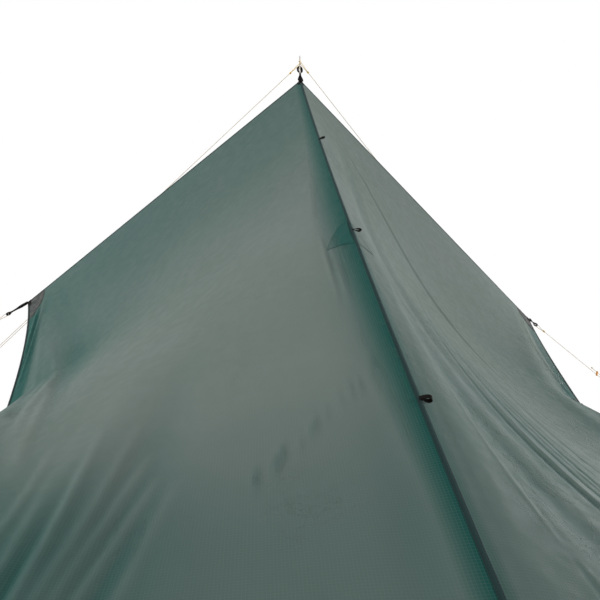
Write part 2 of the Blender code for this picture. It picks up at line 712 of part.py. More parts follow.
def lever(z0, z1):
    """Curved handle that closes round the collar; its hub turns on the hinge pin."""
    inner, outer = LEVER_R
    start, end = LEVER_ARC
    steps = 12
    arm = []
    for radius, order in ((outer, range(steps + 1)), (inner, range(steps, -1, -1))):
        for k in order:
            t = start + (end - start) * k / steps
            flare = LEVER_FLARE * max(0.0, 5 * k / steps - 4)
            arm.append((math.cos(t) * (radius + flare), math.sin(t) * (radius + flare)))
    count = len(arm)
    verts = [(x - HINGE[0], y - HINGE[1], z) for z in (z0, z1) for x, y in arm]
    faces = [tuple(range(count)), tuple(reversed(range(count, 2 * count)))]
    faces += [(k, (k + 1) % count, count + (k + 1) % count, count + k) for k in range(count)]
    obj = link("lock_lever", mesh_from(verts, faces, "lever_arm"), "plastic",
               matrix=Matrix.Translation((*HINGE, 0.0)))
    hub = rod("lever_hub_guide", (*HINGE, z0), (*HINGE, z1), LEVER_HUB_R, "plastic", steps=20)
    combine(obj, (hub,), "UNION")
    bore = rod("lever_bore_guide", (*HINGE, z0 - CUT_PAST), (*HINGE, z1 + CUT_PAST), HINGE_R + GAP, "plastic")
    combine(obj, (bore,), "DIFFERENCE")


# Guylines

def runner_mesh():
    """Two-hole plate runner, its holes along z."""
    long, wide, thick = RUNNER_SIZE
    steps = 6
    outline = arc_points((long / 2 - wide / 2, 0.0), wide / 2, wide / 2, -math.pi / 2, math.pi / 2, steps)
    outline += arc_points((wide / 2 - long / 2, 0.0), wide / 2, wide / 2, math.pi / 2, 1.5 * math.pi, steps)
    count = len(outline)
    verts = [(x, y, z) for z in (-thick / 2, thick / 2) for x, y in outline]
    faces = [tuple(range(count)), tuple(reversed(range(count, 2 * count)))]
    faces += [(k, (k + 1) % count, count + (k + 1) % count, count + k) for k in range(count)]
    plate = link("runner_plate", mesh_from(verts, faces, "runner_plate"), "anodised")
    holes = [rod(f"runner_hole_{k}", (x, 0, -thick), (x, 0, thick), RUNNER_HOLE_R, "anodised", steps=10)
             for k, x in enumerate((-RUNNER_PITCH / 2, RUNNER_PITCH / 2))]
    combine(plate, holes, "DIFFERENCE")
    graph = bpy.context.evaluated_depsgraph_get()
    data = bpy.data.meshes.new_from_object(plate.evaluated_get(graph))
    for obj in [plate] + holes:
        bpy.data.objects.remove(obj, do_unlink=True)
    data.name = "runner"
    return data


def frame_matrix(origin, x_dir, z_dir):
    x, z = Vector(unit(x_dir)), Vector(unit(z_dir))
    y = z.cross(x)
    rows = Matrix((x, y, z)).transposed().to_4x4()
    return Matrix.Translation(Vector(origin)) @ rows


def ease(t):
    return t * t * (3 - 2 * t)


def guyline(tag, anchor, line_dir, loop_dir, turn, stations, runner_data):
    """A cord: loop round its anchor, knot, straight run, runner, end loop and knotted tail."""
    d = unit(line_dir)
    s = unit(loop_dir - d * (np.asarray(loop_dir) @ d))
    half, past = turn
    knot_at, run, doubled = stations
    far = run + doubled
    beside = 2 * CORD_R + 0.5 * CORD_R
    face = knot_at - KNOT_LENGTH / 2 - GAP
    leg_steps, turn_steps = 5, 8
    widen = 1.3

    def at(along, across):
        return anchor + d * along + s * across

    points = []
    for k in range(leg_steps + 1):
        t = k / leg_steps
        points.append(at(face * (1 - t), -(beside + (half - beside) * ease(min(1.0, t * widen)))))
    for k in range(1, turn_steps):
        t = math.pi * k / turn_steps
        points.append(at(-past * math.sin(t), -half * math.cos(t)))
    for k in range(leg_steps + 1):
        t = k / leg_steps
        points.append(at(face * t, half * (1 - ease(max(0.0, t * widen + 1 - widen)))))
    for along in (knot_at, (knot_at + run) / 2, run, run + doubled / 2, far):
        points.append(at(along, 0.0))
    turn_r = RUNNER_PITCH / 2
    for k in range(1, turn_steps):
        t = math.pi * k / turn_steps
        points.append(at(far + turn_r * math.sin(t), turn_r - turn_r * math.cos(t)))
    for along in (far, run + doubled / 2, run, run - TAIL):
        points.append(at(along, RUNNER_PITCH))

    curve = bpy.data.curves.new(f"guyline_{tag}", "CURVE")
    curve.dimensions = "3D"
    curve.bevel_depth = CORD_R
    curve.bevel_resolution = 2
    curve.use_fill_caps = True
    spline = curve.splines.new("POLY")
    spline.points.add(len(points) - 1)
    for slot, p in zip(spline.points, points):
        slot.co = (*p, 1.0)
    link(f"guyline_{tag}", curve, "cord")

    h = KNOT_LENGTH / 2
    barrel = [(KNOT_BORE, -h), (KNOT_R * 0.8, -h), (KNOT_R, -h * 0.4), (KNOT_R, h * 0.4), (KNOT_R * 0.7, h),
              (KNOT_BORE, h)]
    turned(f"knot_{tag}", barrel, "knot", frame_matrix(at(knot_at, 0.0), s, d), steps=14)
    r, h = TAIL_KNOT[0], TAIL_KNOT[1] / 2
    ball = [(0.0, -h), (r * 0.67, -h), (r, -h * 0.4), (r, h * 0.4), (r * 0.67, h), (0.0, h)]
    stop = at(run - TAIL - GAP - h, RUNNER_PITCH)
    turned(f"tail_knot_{tag}", ball, "knot", frame_matrix(stop, s, d), steps=14)
    link(f"runner_{tag}", runner_data, "anodised", smooth=False,
         matrix=frame_matrix(at(run, RUNNER_PITCH / 2), s, d))


def sided(v, half):
    return np.asarray(v, float) * np.array([HALVES[half], 1.0, 1.0])


def guylines():
    runner_data = runner_mesh()
    for half in HALVES:
        d = sided(PEAK_LINES[half], half)
        level = np.cross(d, (0, 0, 1))
        pin_point = np.array([0.0, 0.0, PEAK_LINE_Z[half]])
        guyline(f"peak_{half}", pin_point, d, level, PEAK_TURN, PEAK_STATIONS, runner_data)
        d = unit(sided(CORNER_LINE, half))
        up = np.cross(d, np.cross((0, 0, 1), d))
        eye_end = sided(REAR, half) + d * (STRAP_LENGTHS[half] - CORNER_ANCHOR_IN)
        guyline(f"corner_{half}", eye_end, d, up, CORNER_TURN, CORNER_STATIONS, runner_data)


def webbing():
    low = np.array([0.0, -PEAK_EYE_Y, PEAK_EYE_Z[0]])
    high = np.array([0.0, PEAK_EYE_Y, PEAK_EYE_Z[1]])
    eye_strap("peak_loop", PEAK + np.array(PEAK_FOOT), (1, 0, 0), low, high - low,
              np.linalg.norm(high - low), PEAK_EYE_SPAN)
    for k, u in enumerate(RIDGE_LOOPS):
        n = unit((0.0, RIDGE_DIR[2], -RIDGE_DIR[1]))
        lift = (PATCH_GAP + PATCH + GAP) * RIDGE_LOOP_CLEAR + RIDGE_LOOP_SPAN / 2
        anchor = ridge(u) + n * lift - np.array([RIDGE_LOOP_BACK, 0.0, 0.0])
        loop(f"ridge_loop_{k + 1}", anchor, np.array([1.0, 0.0, 0.0]), n, span=RIDGE_LOOP_SPAN)
    for half in HALVES:
        d = unit(sided(CORNER_LINE, half))
        base = sided(REAR, half) + d * (2 * GAP)
        level = np.cross((0, 0, 1), d)
        eye = base + d * (STRAP_LENGTHS[half] - STRAP_EYE)
        eye_strap(f"rear_corner_loop_{half}", base, level, eye, d, STRAP_EYE, STRAP_EYE_SPAN)
        for k in (1, 2):
            u = k / 3
            tie = sided(TIES[half][k], half)
            along = sided(TIES[half][k + 1] - TIES[half][k - 1], half)
            outward = tie - sided(ridge(u), half)
            outward -= along * (outward @ along) / (along @ along)
            loop(f"side_loop_{half}_{k}", tie, outward, along, clearance=2 * SEWN_GAP)
        ground = sided((CORNER[0], CORNER[1], WEB_WIDTH / 2), half)
        outward = sided(FRONT_CORNER_OUT, half)
        loop(f"front_corner_loop_{half}", ground, outward, np.array([-outward[1], outward[0], 0.0]),
             clearance=SEWN_GAP)
    ahead = np.array([0.0, FRONT[1], WEB_WIDTH / 2])
    loop("front_centre_loop", ahead, np.array([0.0, -1.0, 0.0]), np.array([1.0, 0.0, 0.0]),
         clearance=SEWN_GAP)


def build():
    clear_scene()
    tape_start = PEAK_PATCH_LENGTH / RIDGE_LENGTH
    ridge_strip("peak_patch", (0.0, tape_start / 2, tape_start - GAP), PEAK_PATCH_HALF, "webbing")
    ridge_strip("ridge_tape", [tape_start] + U_LINES[1:], TAPE_HALF, "binding")
    for half in HALVES:
        panel(half)
        hem(half)
        patch(f"rear_corner_patch_{half}", half, corner_outline(False), "patch")
        patch(f"front_corner_patch_{half}", half, corner_outline(True), "patch")
        patch(f"centre_patch_{half}", half, centre_outline(), "patch")
        for k in (1, 2):
            patch(f"side_patch_{half}_{k}", half, tie_outline(k / 3), "patch")
    webbing()
    pole()
    lock()
    guylines()


build()
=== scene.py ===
import math

import bmesh
import bpy
import numpy as np
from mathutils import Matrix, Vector

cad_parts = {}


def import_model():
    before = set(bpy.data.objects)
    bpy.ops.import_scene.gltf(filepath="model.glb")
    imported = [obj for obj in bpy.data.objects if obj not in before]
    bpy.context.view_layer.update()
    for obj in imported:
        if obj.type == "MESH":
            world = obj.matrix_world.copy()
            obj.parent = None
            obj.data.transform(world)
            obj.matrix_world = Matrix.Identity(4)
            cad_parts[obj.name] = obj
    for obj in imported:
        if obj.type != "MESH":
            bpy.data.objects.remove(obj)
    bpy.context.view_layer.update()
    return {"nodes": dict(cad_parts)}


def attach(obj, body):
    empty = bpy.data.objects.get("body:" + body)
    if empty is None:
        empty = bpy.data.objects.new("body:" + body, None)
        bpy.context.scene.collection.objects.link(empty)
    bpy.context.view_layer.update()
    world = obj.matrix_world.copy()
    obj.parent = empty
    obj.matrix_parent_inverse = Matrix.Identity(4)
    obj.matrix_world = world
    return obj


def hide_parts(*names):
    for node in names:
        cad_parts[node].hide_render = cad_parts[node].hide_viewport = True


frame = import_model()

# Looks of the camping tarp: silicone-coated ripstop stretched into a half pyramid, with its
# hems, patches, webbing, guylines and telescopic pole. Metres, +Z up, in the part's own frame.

# The pitch, as in the part
RIDGE_LENGTH = 3.000
HALF_BACK = 1.500
PEAK_HEIGHT = 2.100
PEAK_Y = -0.020
GROUND_LIFT = 0.004
RIDGE_SAG = 0.043
BACK_DROOP = math.radians(37.6)
BACK_SWEEP = math.radians(19.6)
FRONT_CORNER = (1.440, -2.040)
TIE_OUTS = {"left": ((0.978, -0.400, 0.621), (1.200, -1.240, 0.300)),
            "right": ((0.933, -0.385, 0.684), (1.050, -1.270, 0.250))}
SLACK = {"left": 0.0, "right": 0.100}
SIDE_BOW = (0.028, 0.060, 0.060)
SCALLOP_DEPTH = 5
FRONT_BOW = 0.030
FRONT_RISE = 0.015
SEAM_GAP = 0.0004
HEM_WIDTH = 0.012
TAPE_HALF = 0.005
CORNER_PATCH = (0.240, 0.080)
TIE_PATCH = (0.016, 0.030)
TIE_WIDTH = 1.25
KITE_APEX = 0.4807
KITE_WIDTH = 1.27
PEAK_PATCH_LENGTH = 0.036
PEAK_PATCH_HALF = 0.014
RIDGE_LOOPS = (0.25, 0.50, 0.75)
HALVES = {"left": -1.0, "right": 1.0}

# The camera of the photograph
CAMERA_AT = (-0.3780, -2.8852, 0.3174)
CAMERA_UP = math.radians(15.63)
CAMERA_TURN = math.radians(7.48)
FOCAL_PX = 764.3
FRAME_PX = 600
SENSOR_MM = 36.0


def unit(v):
    v = np.asarray(v, float)
    return v / np.linalg.norm(v, axis=-1, keepdims=True)


def dot(a, b):
    return (a * b).sum(-1, keepdims=True)


def ease(t):
    t = np.clip(t, 0.0, 1.0)
    return t * t * (3 - 2 * t)


def sided(v, half):
    return np.asarray(v, float) * np.array([HALVES[half], 1.0, 1.0])


def in_scene(name, data):
    obj = bpy.data.objects.new(name, data)
    bpy.context.scene.collection.objects.link(obj)
    return obj


# Camera

def make_camera():
    data = bpy.data.cameras.new("camera")
    data.sensor_width = SENSOR_MM
    data.lens = FOCAL_PX * SENSOR_MM / FRAME_PX
    data.clip_end = 100.0
    obj = in_scene("camera", data)
    obj.location = CAMERA_AT
    obj.rotation_euler = (math.pi / 2 + CAMERA_UP, 0.0, -CAMERA_TURN)
    bpy.context.scene.camera = obj


# Base surface of a half, laid on the right, over u (down the ridge) and v (ridge to side)

def pitch():
    run = math.sqrt(RIDGE_LENGTH ** 2 - PEAK_HEIGHT ** 2)
    peak = np.array([0.0, PEAK_Y, PEAK_HEIGHT])
    front = np.array([0.0, PEAK_Y - run, GROUND_LIFT])
    reach = HALF_BACK * math.cos(BACK_DROOP)
    rear = peak + np.array([reach * math.cos(BACK_SWEEP), reach * math.sin(BACK_SWEEP),
                            -HALF_BACK * math.sin(BACK_DROOP)])
    return peak, front, rear, np.array([*FRONT_CORNER, GROUND_LIFT])


PEAK, FRONT, REAR, CORNER = pitch()
TIES = {half: np.array([REAR, *outs, CORNER]) for half, outs in TIE_OUTS.items()}
RIDGE_DIR = unit(FRONT - PEAK)
RIDGE_UP = np.array([0.0, RIDGE_DIR[2], -RIDGE_DIR[1]])
X_DIR = np.array([1.0, 0.0, 0.0])
UP = (0, 0, 1)


def ridge(u):
    u = np.asarray(u, float)[..., None]
    return PEAK + (FRONT - PEAK) * u - RIDGE_UP * RIDGE_SAG * 4 * u * (1 - u)


def side_edges(u, half):
    """The scalloped side edge, and the smooth curve through its tie-outs."""
    ties = TIES[half]
    k = np.minimum((u * 3).astype(int), 2)
    t = (u * 3 - k)[..., None]
    a, b = ties[k], ties[k + 1]
    inward = ridge((k + 0.5) / 3) - (a + b) / 2
    inward = unit(inward - (b - a) * dot(inward, b - a) / dot(b - a, b - a))
    scalloped = a + (b - a) * t + inward * np.array(SIDE_BOW)[k][..., None] * 4 * t * (1 - t)
    longer = np.vstack([2 * ties[0] - ties[1], ties, 2 * ties[3] - ties[2]])
    before, after = longer[k], longer[k + 3]
    bend = (2 * before - 5 * a + 4 * b - after) * t + (3 * a - before - 3 * b + after) * t * t
    return scalloped, a + 0.5 * t * (b - before + bend)


def surface(u, v, half):
    u, v = np.broadcast_arrays(np.asarray(u, float), np.asarray(v, float))
    scalloped, smooth = side_edges(u, half)
    u, v = u[..., None], v[..., None]
    front = FRONT + (CORNER - FRONT) * v + np.array([0.0, FRONT_BOW, FRONT_RISE]) * 4 * v * (1 - v)
    blend = (1 - v) * ridge(u[..., 0]) + v * smooth + (1 - u) * (PEAK + (REAR - PEAK) * v) + u * front
    flat = (1 - u) * (1 - v) * PEAK + u * (1 - v) * FRONT + (1 - u) * v * REAR + u * v * CORNER
    return blend - flat + (scalloped - smooth) * v ** SCALLOP_DEPTH


def surface_normal(u, v, half):
    step = 0.004
    u0, u1 = np.clip(u - step, 0, 1), np.clip(u + step, 0, 1)
    v0, v1 = np.clip(v - step, 0, 1), np.clip(v + step, 0, 1)
    down = surface(u1, v, half) - surface(u0, v, half)
    across = surface(u, v1, half) - surface(u, v0, half)
    return unit(np.cross(down, across))


# The part's own main folds: u and v of each point on the crest, then height and half width across in v
FOLDS = {
    "left": (
        (0.03, 0.96, 0.32, 0.90, 0.75, 0.58, 0.010, 0.050),
        (0.04, 0.90, 0.32, 0.79, 0.80, 0.50, -0.008, 0.055),
        (0.60, 0.44, 0.80, 0.45, 1.00, 0.48, 0.009, 0.045),
        (0.60, 0.35, 0.80, 0.37, 1.00, 0.40, -0.008, 0.045),
        (0.35, 0.05, 0.65, 0.05, 1.00, 0.06, -0.006, 0.035),
    ),
    "right": (
        (0.03, 0.95, 0.24, 0.90, 0.60, 0.84, 0.007, 0.050),
        (0.10, 0.13, 0.42, 0.19, 0.85, 0.26, -0.007, 0.035),
        (0.55, 0.12, 0.72, 0.15, 1.00, 0.25, -0.006, 0.035),
        (0.14, 0.10, 0.50, 0.08, 1.00, 0.04, 0.006, 0.035),
    ),
}
FADE_SEAM = 0.04
FADE_SIDE = 0.10
FADE_ENDS = 0.06
SWELL = 0.7

# Sharper folds and creases on top of them, the same way, but they run up to the edges
CREASES = {
    "left": (
        (0.04, 0.953, 0.13, 0.975, 0.21, 0.994, 0.0050, 0.0060),
        (0.05, 0.936, 0.16, 0.962, 0.30, 0.984, 0.0055, 0.0065),
        (0.05, 0.944, 0.15, 0.969, 0.27, 0.988, -0.0030, 0.0045),
        (0.10, 0.940, 0.29, 0.918, 0.45, 0.850, 0.0060, 0.0130),
        (0.04, 0.920, 0.32, 0.905, 0.62, 0.660, -0.006, 0.016),
        (0.22, 0.900, 0.50, 0.740, 0.72, 0.570, 0.006, 0.014),
        (0.40, 0.820, 0.58, 0.655, 0.74, 0.560, 0.005, 0.012),
        (0.70, 0.530, 0.80, 0.515, 1.00, 0.560, 0.005, 0.010),
        (0.74, 0.500, 0.83, 0.483, 1.00, 0.510, 0.005, 0.010),
        (0.73, 0.466, 0.82, 0.462, 1.00, 0.480, -0.005, 0.010),
        (0.70, 0.452, 0.82, 0.447, 1.00, 0.465, 0.006, 0.010),
        (0.70, 0.398, 0.82, 0.415, 1.00, 0.470, 0.006, 0.010),
        (0.74, 0.365, 0.84, 0.400, 1.00, 0.440, 0.006, 0.009),
        (0.77, 0.347, 0.85, 0.380, 1.00, 0.430, 0.006, 0.009),
        (0.78, 0.320, 0.86, 0.345, 1.00, 0.400, 0.003, 0.009),
        (0.47, 0.073, 0.53, 0.071, 0.60, 0.067, 0.0020, 0.0050),
        (0.47, 0.064, 0.53, 0.064, 0.62, 0.062, -0.0016, 0.0045),
        (0.49, 0.055, 0.54, 0.053, 0.62, 0.052, 0.0016, 0.0045),
    ),
    "right": (
        (0.09, 0.110, 0.26, 0.380, 0.47, 0.570, -0.0028, 0.0088),
        (0.10, 0.140, 0.27, 0.415, 0.48, 0.590, 0.0019, 0.0096),
        (0.12, 0.170, 0.28, 0.440, 0.46, 0.600, -0.0008, 0.0064),
        (0.40, 0.345, 0.60, 0.272, 0.79, 0.280, 1.00, 0.330, -0.0030, 0.0080),
        (0.44, 0.362, 0.62, 0.300, 0.80, 0.300, 1.00, 0.350, 0.0019, 0.0072),
        (0.45, 0.370, 0.62, 0.340, 0.80, 0.325, 1.00, 0.375, -0.0025, 0.0072),
        (0.45, 0.380, 0.60, 0.385, 0.80, 0.350, 1.00, 0.400, 0.0017, 0.0064),
        (0.46, 0.370, 0.60, 0.408, 0.74, 0.375, 1.00, 0.420, -0.0022, 0.0072),
        (0.50, 0.450, 0.62, 0.450, 0.78, 0.425, 1.00, 0.460, 0.0014, 0.0080),
        (0.42, 0.510, 0.59, 0.492, 0.70, 0.480, 1.00, 0.510, -0.0017, 0.0080),
        (0.66, 0.110, 0.80, 0.115, 1.00, 0.190, 0.0011, 0.0064),
        (0.80, 0.128, 0.88, 0.128, 1.00, 0.150, -0.0014, 0.0064),
        (0.02, 0.960, 0.20, 0.940, 0.34, 0.990, 0.0017, 0.0096),
    ),
}
CREASE_FADE = 0.01

# A row of short puckers, as (u, v) of its two ends; each strays a little and has its own strength
PUCKERS = ((0.795, 0.225), (0.700, 0.040))
PUCKER_COUNT = 12
PUCKER_HEIGHT = 0.0035
PUCKER_HALF = (0.030, 0.007)
PUCKER_STRAY = 0.010
PUCKER_LEAST = 0.3

SEED = 7
CRINKLE_WAVES = 70
CRINKLE_LENGTHS = (0.045, 0.160)
CRINKLE_HEIGHT = 0.00022
SEAM_WAVE = (0.0004, 0.034, 0.030)
HEM_WAVE = (0.0008, 0.045, 0.040)
# A shorter wave on the hem's: its share of the height and the length, and its phase
HEM_RIPPLE = (0.5, 0.63, 1.0)


def crest(points, u):
    """v of a fold's crest at u, on the one polynomial through its points."""
    total = np.zeros_like(u)
    for k, (u_k, v_k) in enumerate(points):
        share = np.full_like(u, v_k)
        for other, _ in points[:k] + points[k + 1:]:
            share *= (u - other) / (u_k - other)
        total += share
    return total


def fold_sum(folds, u, v):
    total = np.zeros_like(u)
    for *line, height, width in folds:
        points = tuple(zip(line[::2], line[1::2]))
        t = np.clip((u - line[0]) / (line[-2] - line[0]), 0.0, 1.0)
        swell = np.sin(np.pi * t) ** SWELL
        total += height * swell * np.exp(-((v - crest(points, u)) / width) ** 2)
    return total


def fade(u, v, seam, side, ends):
    edge = np.minimum.reduce([v / seam, (1 - v) / side, u / ends, (1 - u) / ends])
    return np.clip(edge, 0.0, 1.0)


def crinkles(x, y, seed):
    """Soft creased relief: sharpened sums of waves."""
    rng = np.random.default_rng(seed)
    total = np.zeros_like(x)
    for _ in range(CRINKLE_WAVES):
        angle = rng.uniform(0, math.pi)
        length = rng.uniform(*CRINKLE_LENGTHS)
        phase = rng.uniform(0, 2 * math.pi)
        total += np.cos(2 * math.pi * (x * math.cos(angle) + y * math.sin(angle)) / length + phase)
    total /= math.sqrt(CRINKLE_WAVES / 2)
    return 1.0 - np.abs(total)


def puckers(x, y):
    start, end = (np.array([u * RIDGE_LENGTH, v * TIE_WIDTH]) for u, v in PUCKERS)
    rng = np.random.default_rng(SEED)
    total = np.zeros_like(x)
    for k in range(PUCKER_COUNT):
        at = start + (end - start) * k / (PUCKER_COUNT - 1) + rng.uniform(-PUCKER_STRAY, PUCKER_STRAY, 2)
        strength = rng.uniform(PUCKER_LEAST, 1.0)
        total += strength * np.exp(-((x - at[0]) / PUCKER_HALF[0]) ** 2 - ((y - at[1]) / PUCKER_HALF[1]) ** 2)
    return total * PUCKER_HEIGHT


def flat_place(u, v):
    """Metres down the ridge and across on the cloth laid flat."""
    return u * RIDGE_LENGTH, v * (TIE_WIDTH + (HALF_BACK - TIE_WIDTH) * (1 - u))


def relief(u, v, half):
    """Height of the cloth above the stretched base surface."""
    x, y = flat_place(u, v)
    height = fold_sum(FOLDS[half], u, v) * fade(u, v, FADE_SEAM, FADE_SIDE, FADE_ENDS)
    height -= SLACK[half] * np.sin(math.pi * u) * np.sin(math.pi * v)
    near_edge = fade(u, v, CREASE_FADE, CREASE_FADE, CREASE_FADE)
    height += fold_sum(CREASES[half], u, v) * near_edge
    height += crinkles(x, y, SEED + int(half == "right")) * CRINKLE_HEIGHT * near_edge
    if half == "left":
        height += puckers(x, y)
    tall, long, deep = SEAM_WAVE
    height += tall * np.cos(2 * math.pi * x / long) * np.exp(-y / deep) * np.clip(y / deep, 0, 1)
    tall, long, deep = HEM_WAVE
    from_side = (1 - v) * TIE_WIDTH
    low, short, phase = HEM_RIPPLE
    wave = np.cos(2 * math.pi * x / long) + low * np.cos(2 * math.pi * x / (long * short) + phase)
    height += tall * wave * np.exp(-from_side / deep) * np.clip(from_side / deep, 0, 1)
    return height


def graded(parts):
    """Grid lines from (start, end, cells) runs."""
    lines = [np.linspace(a, b, n, endpoint=False) for a, b, n in parts]
    return np.concatenate(lines + [[parts[-1][1]]])


U_LINES = graded(((0.0, 0.45, 110), (0.45, 1.0, 220)))
V_LINES = graded(((0.0, 0.12, 60), (0.12, 0.60, 125), (0.60, 0.92, 70), (0.92, 1.0, 40)))


class Cloth:
    """One half of the tarp as a fine grid, and any point on it or above it."""

    def __init__(self, half):
        u, v = np.meshgrid(U_LINES, V_LINES, indexing="ij")
        normal = surface_normal(u, v, half)
        outer = surface(u, v, half) + normal * relief(u, v, half)[..., None]
        flat = unit(normal[:, 0] * np.array([0.0, 1.0, 1.0]))
        normal[:, 0] = flat / dot(flat, normal[:, 0])
        outer[:, 0, 0] = SEAM_GAP / 2
        self.outer = sided(outer, half)
        self.normal = sided(normal, half)

    def at(self, u, v, proud=0.0):
        u, v, proud = np.broadcast_arrays(u, v, proud)
        i = np.clip(np.searchsorted(U_LINES, u) - 1, 0, len(U_LINES) - 2)
        j = np.clip(np.searchsorted(V_LINES, v) - 1, 0, len(V_LINES) - 2)
        a = ((u - U_LINES[i]) / (U_LINES[i + 1] - U_LINES[i]))[..., None]
        b = ((v - V_LINES[j]) / (V_LINES[j + 1] - V_LINES[j]))[..., None]

        def mix(grid):
            return ((grid[i, j] * (1 - b) + grid[i, j + 1] * b) * (1 - a)
                    + (grid[i + 1, j] * (1 - b) + grid[i + 1, j + 1] * b) * a)

        return mix(self.outer) + mix(self.normal) * proud[..., None]

    def up(self, u, v):
        return self.at(u, v, 1.0) - self.at(u, v)


# Meshes

WEB_EDGE = 5
# Points along one stitch, as shares of its length, with their lift and half width, as shares of its thickness
STITCH_AT = np.array([0.0, 0.18, 0.5, 0.82, 1.0])
STITCH_LIFT = np.array([-0.5, 0.55, 0.85, 0.55, -0.5])
STITCH_SLIM = np.array([0.35, 0.85, 1.0, 0.85, 0.35])
STITCH_SIDES = 6


def link(data, finish, node=None, body="tarp", sharp=None):
    """Put a mesh in the scene as a piece of the same name, in the place of a node of the part."""
    obj = in_scene(data.name, data)
    data.materials.append(FINISH[finish])
    data.shade_smooth()
    if sharp:
        data.set_sharp_from_angle(angle=math.radians(sharp))
    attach(obj, body)
    if node:
        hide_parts(node)
    return obj


def runs(along, across, painted_shade=0.0):
    """Coordinate of each point: metres along the piece, metres across it, and its share of painted shade."""
    return np.stack(np.broadcast_arrays(along, across, painted_shade), -1)


def mesh_of(name, verts, faces, run):
    """A mesh from points and faces, with a coordinate per point."""
    data = bpy.data.meshes.new(name)
    verts = np.asarray(verts, np.float32).reshape(-1, 3)
    data.from_pydata(verts.tolist(), [], [tuple(int(k) for k in f) for f in faces])
    layer = data.attributes.new("run", "FLOAT_VECTOR", "POINT")
    layer.data.foreach_set("vector", np.asarray(run, np.float32).ravel())
    bm = bmesh.new()
    bm.from_mesh(data)
    bmesh.ops.recalc_face_normals(bm, faces=bm.faces)
    bm.to_mesh(data)
    bm.free()
    return data


def sheet_mesh(name, top, low, run):
    """Closed sheet between two matching grids of points."""
    rows, cols = top.shape[:2]
    index = np.arange(rows * cols).reshape(rows, cols)
    quads = np.stack([index[:-1, :-1], index[1:, :-1], index[1:, 1:], index[:-1, 1:]], -1).reshape(-1, 4)
    under = quads[:, ::-1] + rows * cols
    rim = np.concatenate([index[0, :], index[1:, -1], index[-1, -2::-1], index[-2:0:-1, 0]])
    after = np.roll(rim, -1)
    walls = np.stack([after, rim, rim + rows * cols, after + rows * cols], -1)
    return mesh_of(name, np.stack([top, low]), np.concatenate([quads, under, walls]), np.stack([run, run]))


def bands(a, b):
    """Quads between matching rings of point numbers."""
    return np.stack([a, np.roll(a, -1, -1), np.roll(b, -1, -1), b], -1).reshape(-1, 4)


def skin(name, rings, run):
    """Tube through matching rings of points, with flat ends."""
    count, sides = rings.shape[:2]
    index = np.arange(count * sides).reshape(count, sides)
    return mesh_of(name, rings, [*bands(index[:-1], index[1:]), index[0][::-1], index[-1]], run)


def smooth_path(points, per_span=6):
    """Catmull-Rom curve through given points."""
    p = np.asarray(points, float)
    p = np.vstack([2 * p[0] - p[1], p, 2 * p[-1] - p[-2]])
    out = []
    for k in range(len(p) - 3):
        a, b, c, d = p[k:k + 4]
        for t in np.linspace(0, 1, per_span, endpoint=False):
            out.append(b + 0.5 * t * (c - a + t * (2 * a - 5 * b + 4 * c - d + t * (3 * (b - c) + d - a))))
    return np.array(out + [p[-2]])


def tangents(path):
    return unit(np.gradient(path, axis=0))


def distances(path):
    return np.concatenate([[0.0], np.cumsum(np.linalg.norm(np.diff(path, axis=0), axis=1))])


def tube(name, path, radius, sides):
    """Round tube, turned as little as it can be along its path; its coordinate is metres, and turns."""
    t = tangents(path)
    side = [unit(np.cross(t[0], (0.31, 0.21, 0.93)))]
    for k in range(1, len(path)):
        side.append(unit(side[-1] - t[k] * (side[-1] @ t[k])))
    side = np.array(side)
    angle = 2 * math.pi * np.arange(sides) / sides
    ring = side[:, None] * np.cos(angle)[:, None] + np.cross(t, side)[:, None] * np.sin(angle)[:, None]
    return skin(name, path[:, None] + ring * radius, runs(distances(path)[:, None], angle / (2 * math.pi)))


def web(name, path, width_dirs, width, thick):
    """Woven webbing: a flat band with round edges, its width along the given directions."""
    t = tangents(path)
    w = unit(width_dirs - t * dot(width_dirs, t))
    angle = math.pi * (np.arange(WEB_EDGE) / (WEB_EDGE - 1) - 0.5)
    across = np.concatenate([np.cos(angle), -np.cos(angle)])
    height = np.concatenate([np.sin(angle), -np.sin(angle)])
    middle = np.broadcast_to(width, len(path))[:, None] / 2 - thick / 2
    reach = np.repeat([1.0, -1.0], WEB_EDGE) * middle + across * (thick / 2)
    out = np.cross(t, w)[:, None] * (height * thick / 2)[:, None]
    return skin(name, path[:, None] + w[:, None] * reach[..., None] + out, runs(distances(path)[:, None], reach))


def lathe(name, profile, steps):
    """Profile of (radius, height) points spun about z; a closed outline, or one from axis to axis."""
    profile = np.asarray(profile, float)
    angle = 2 * math.pi * np.arange(steps) / steps
    solid = profile[0, 0] == 0 and profile[-1, 0] == 0
    ringed = profile[1:-1] if solid else profile
    radius, height = ringed[:, :1], ringed[:, 1:]
    verts = np.stack(np.broadcast_arrays(radius * np.cos(angle), radius * np.sin(angle), height), -1).reshape(-1, 3)
    index = np.arange(len(verts)).reshape(-1, steps)
    faces = [*bands(index[:-1], index[1:])]
    turns = np.tile(angle / (2 * math.pi), len(ringed))
    if solid:
        low, high = len(verts), len(verts) + 1
        verts = np.vstack([verts, [0, 0, profile[0, 1]], [0, 0, profile[-1, 1]]])
        faces += [(low, p, q) for p, q in zip(np.roll(index[0], -1), index[0])]
        faces += [(high, p, q) for p, q in zip(index[-1], np.roll(index[-1], -1))]
        turns = np.append(turns, [0.0, 0.0])
    else:
        faces += [*bands(index[-1:], index[:1])]
    return mesh_of(name, verts, faces, runs(verts[:, 2], turns))


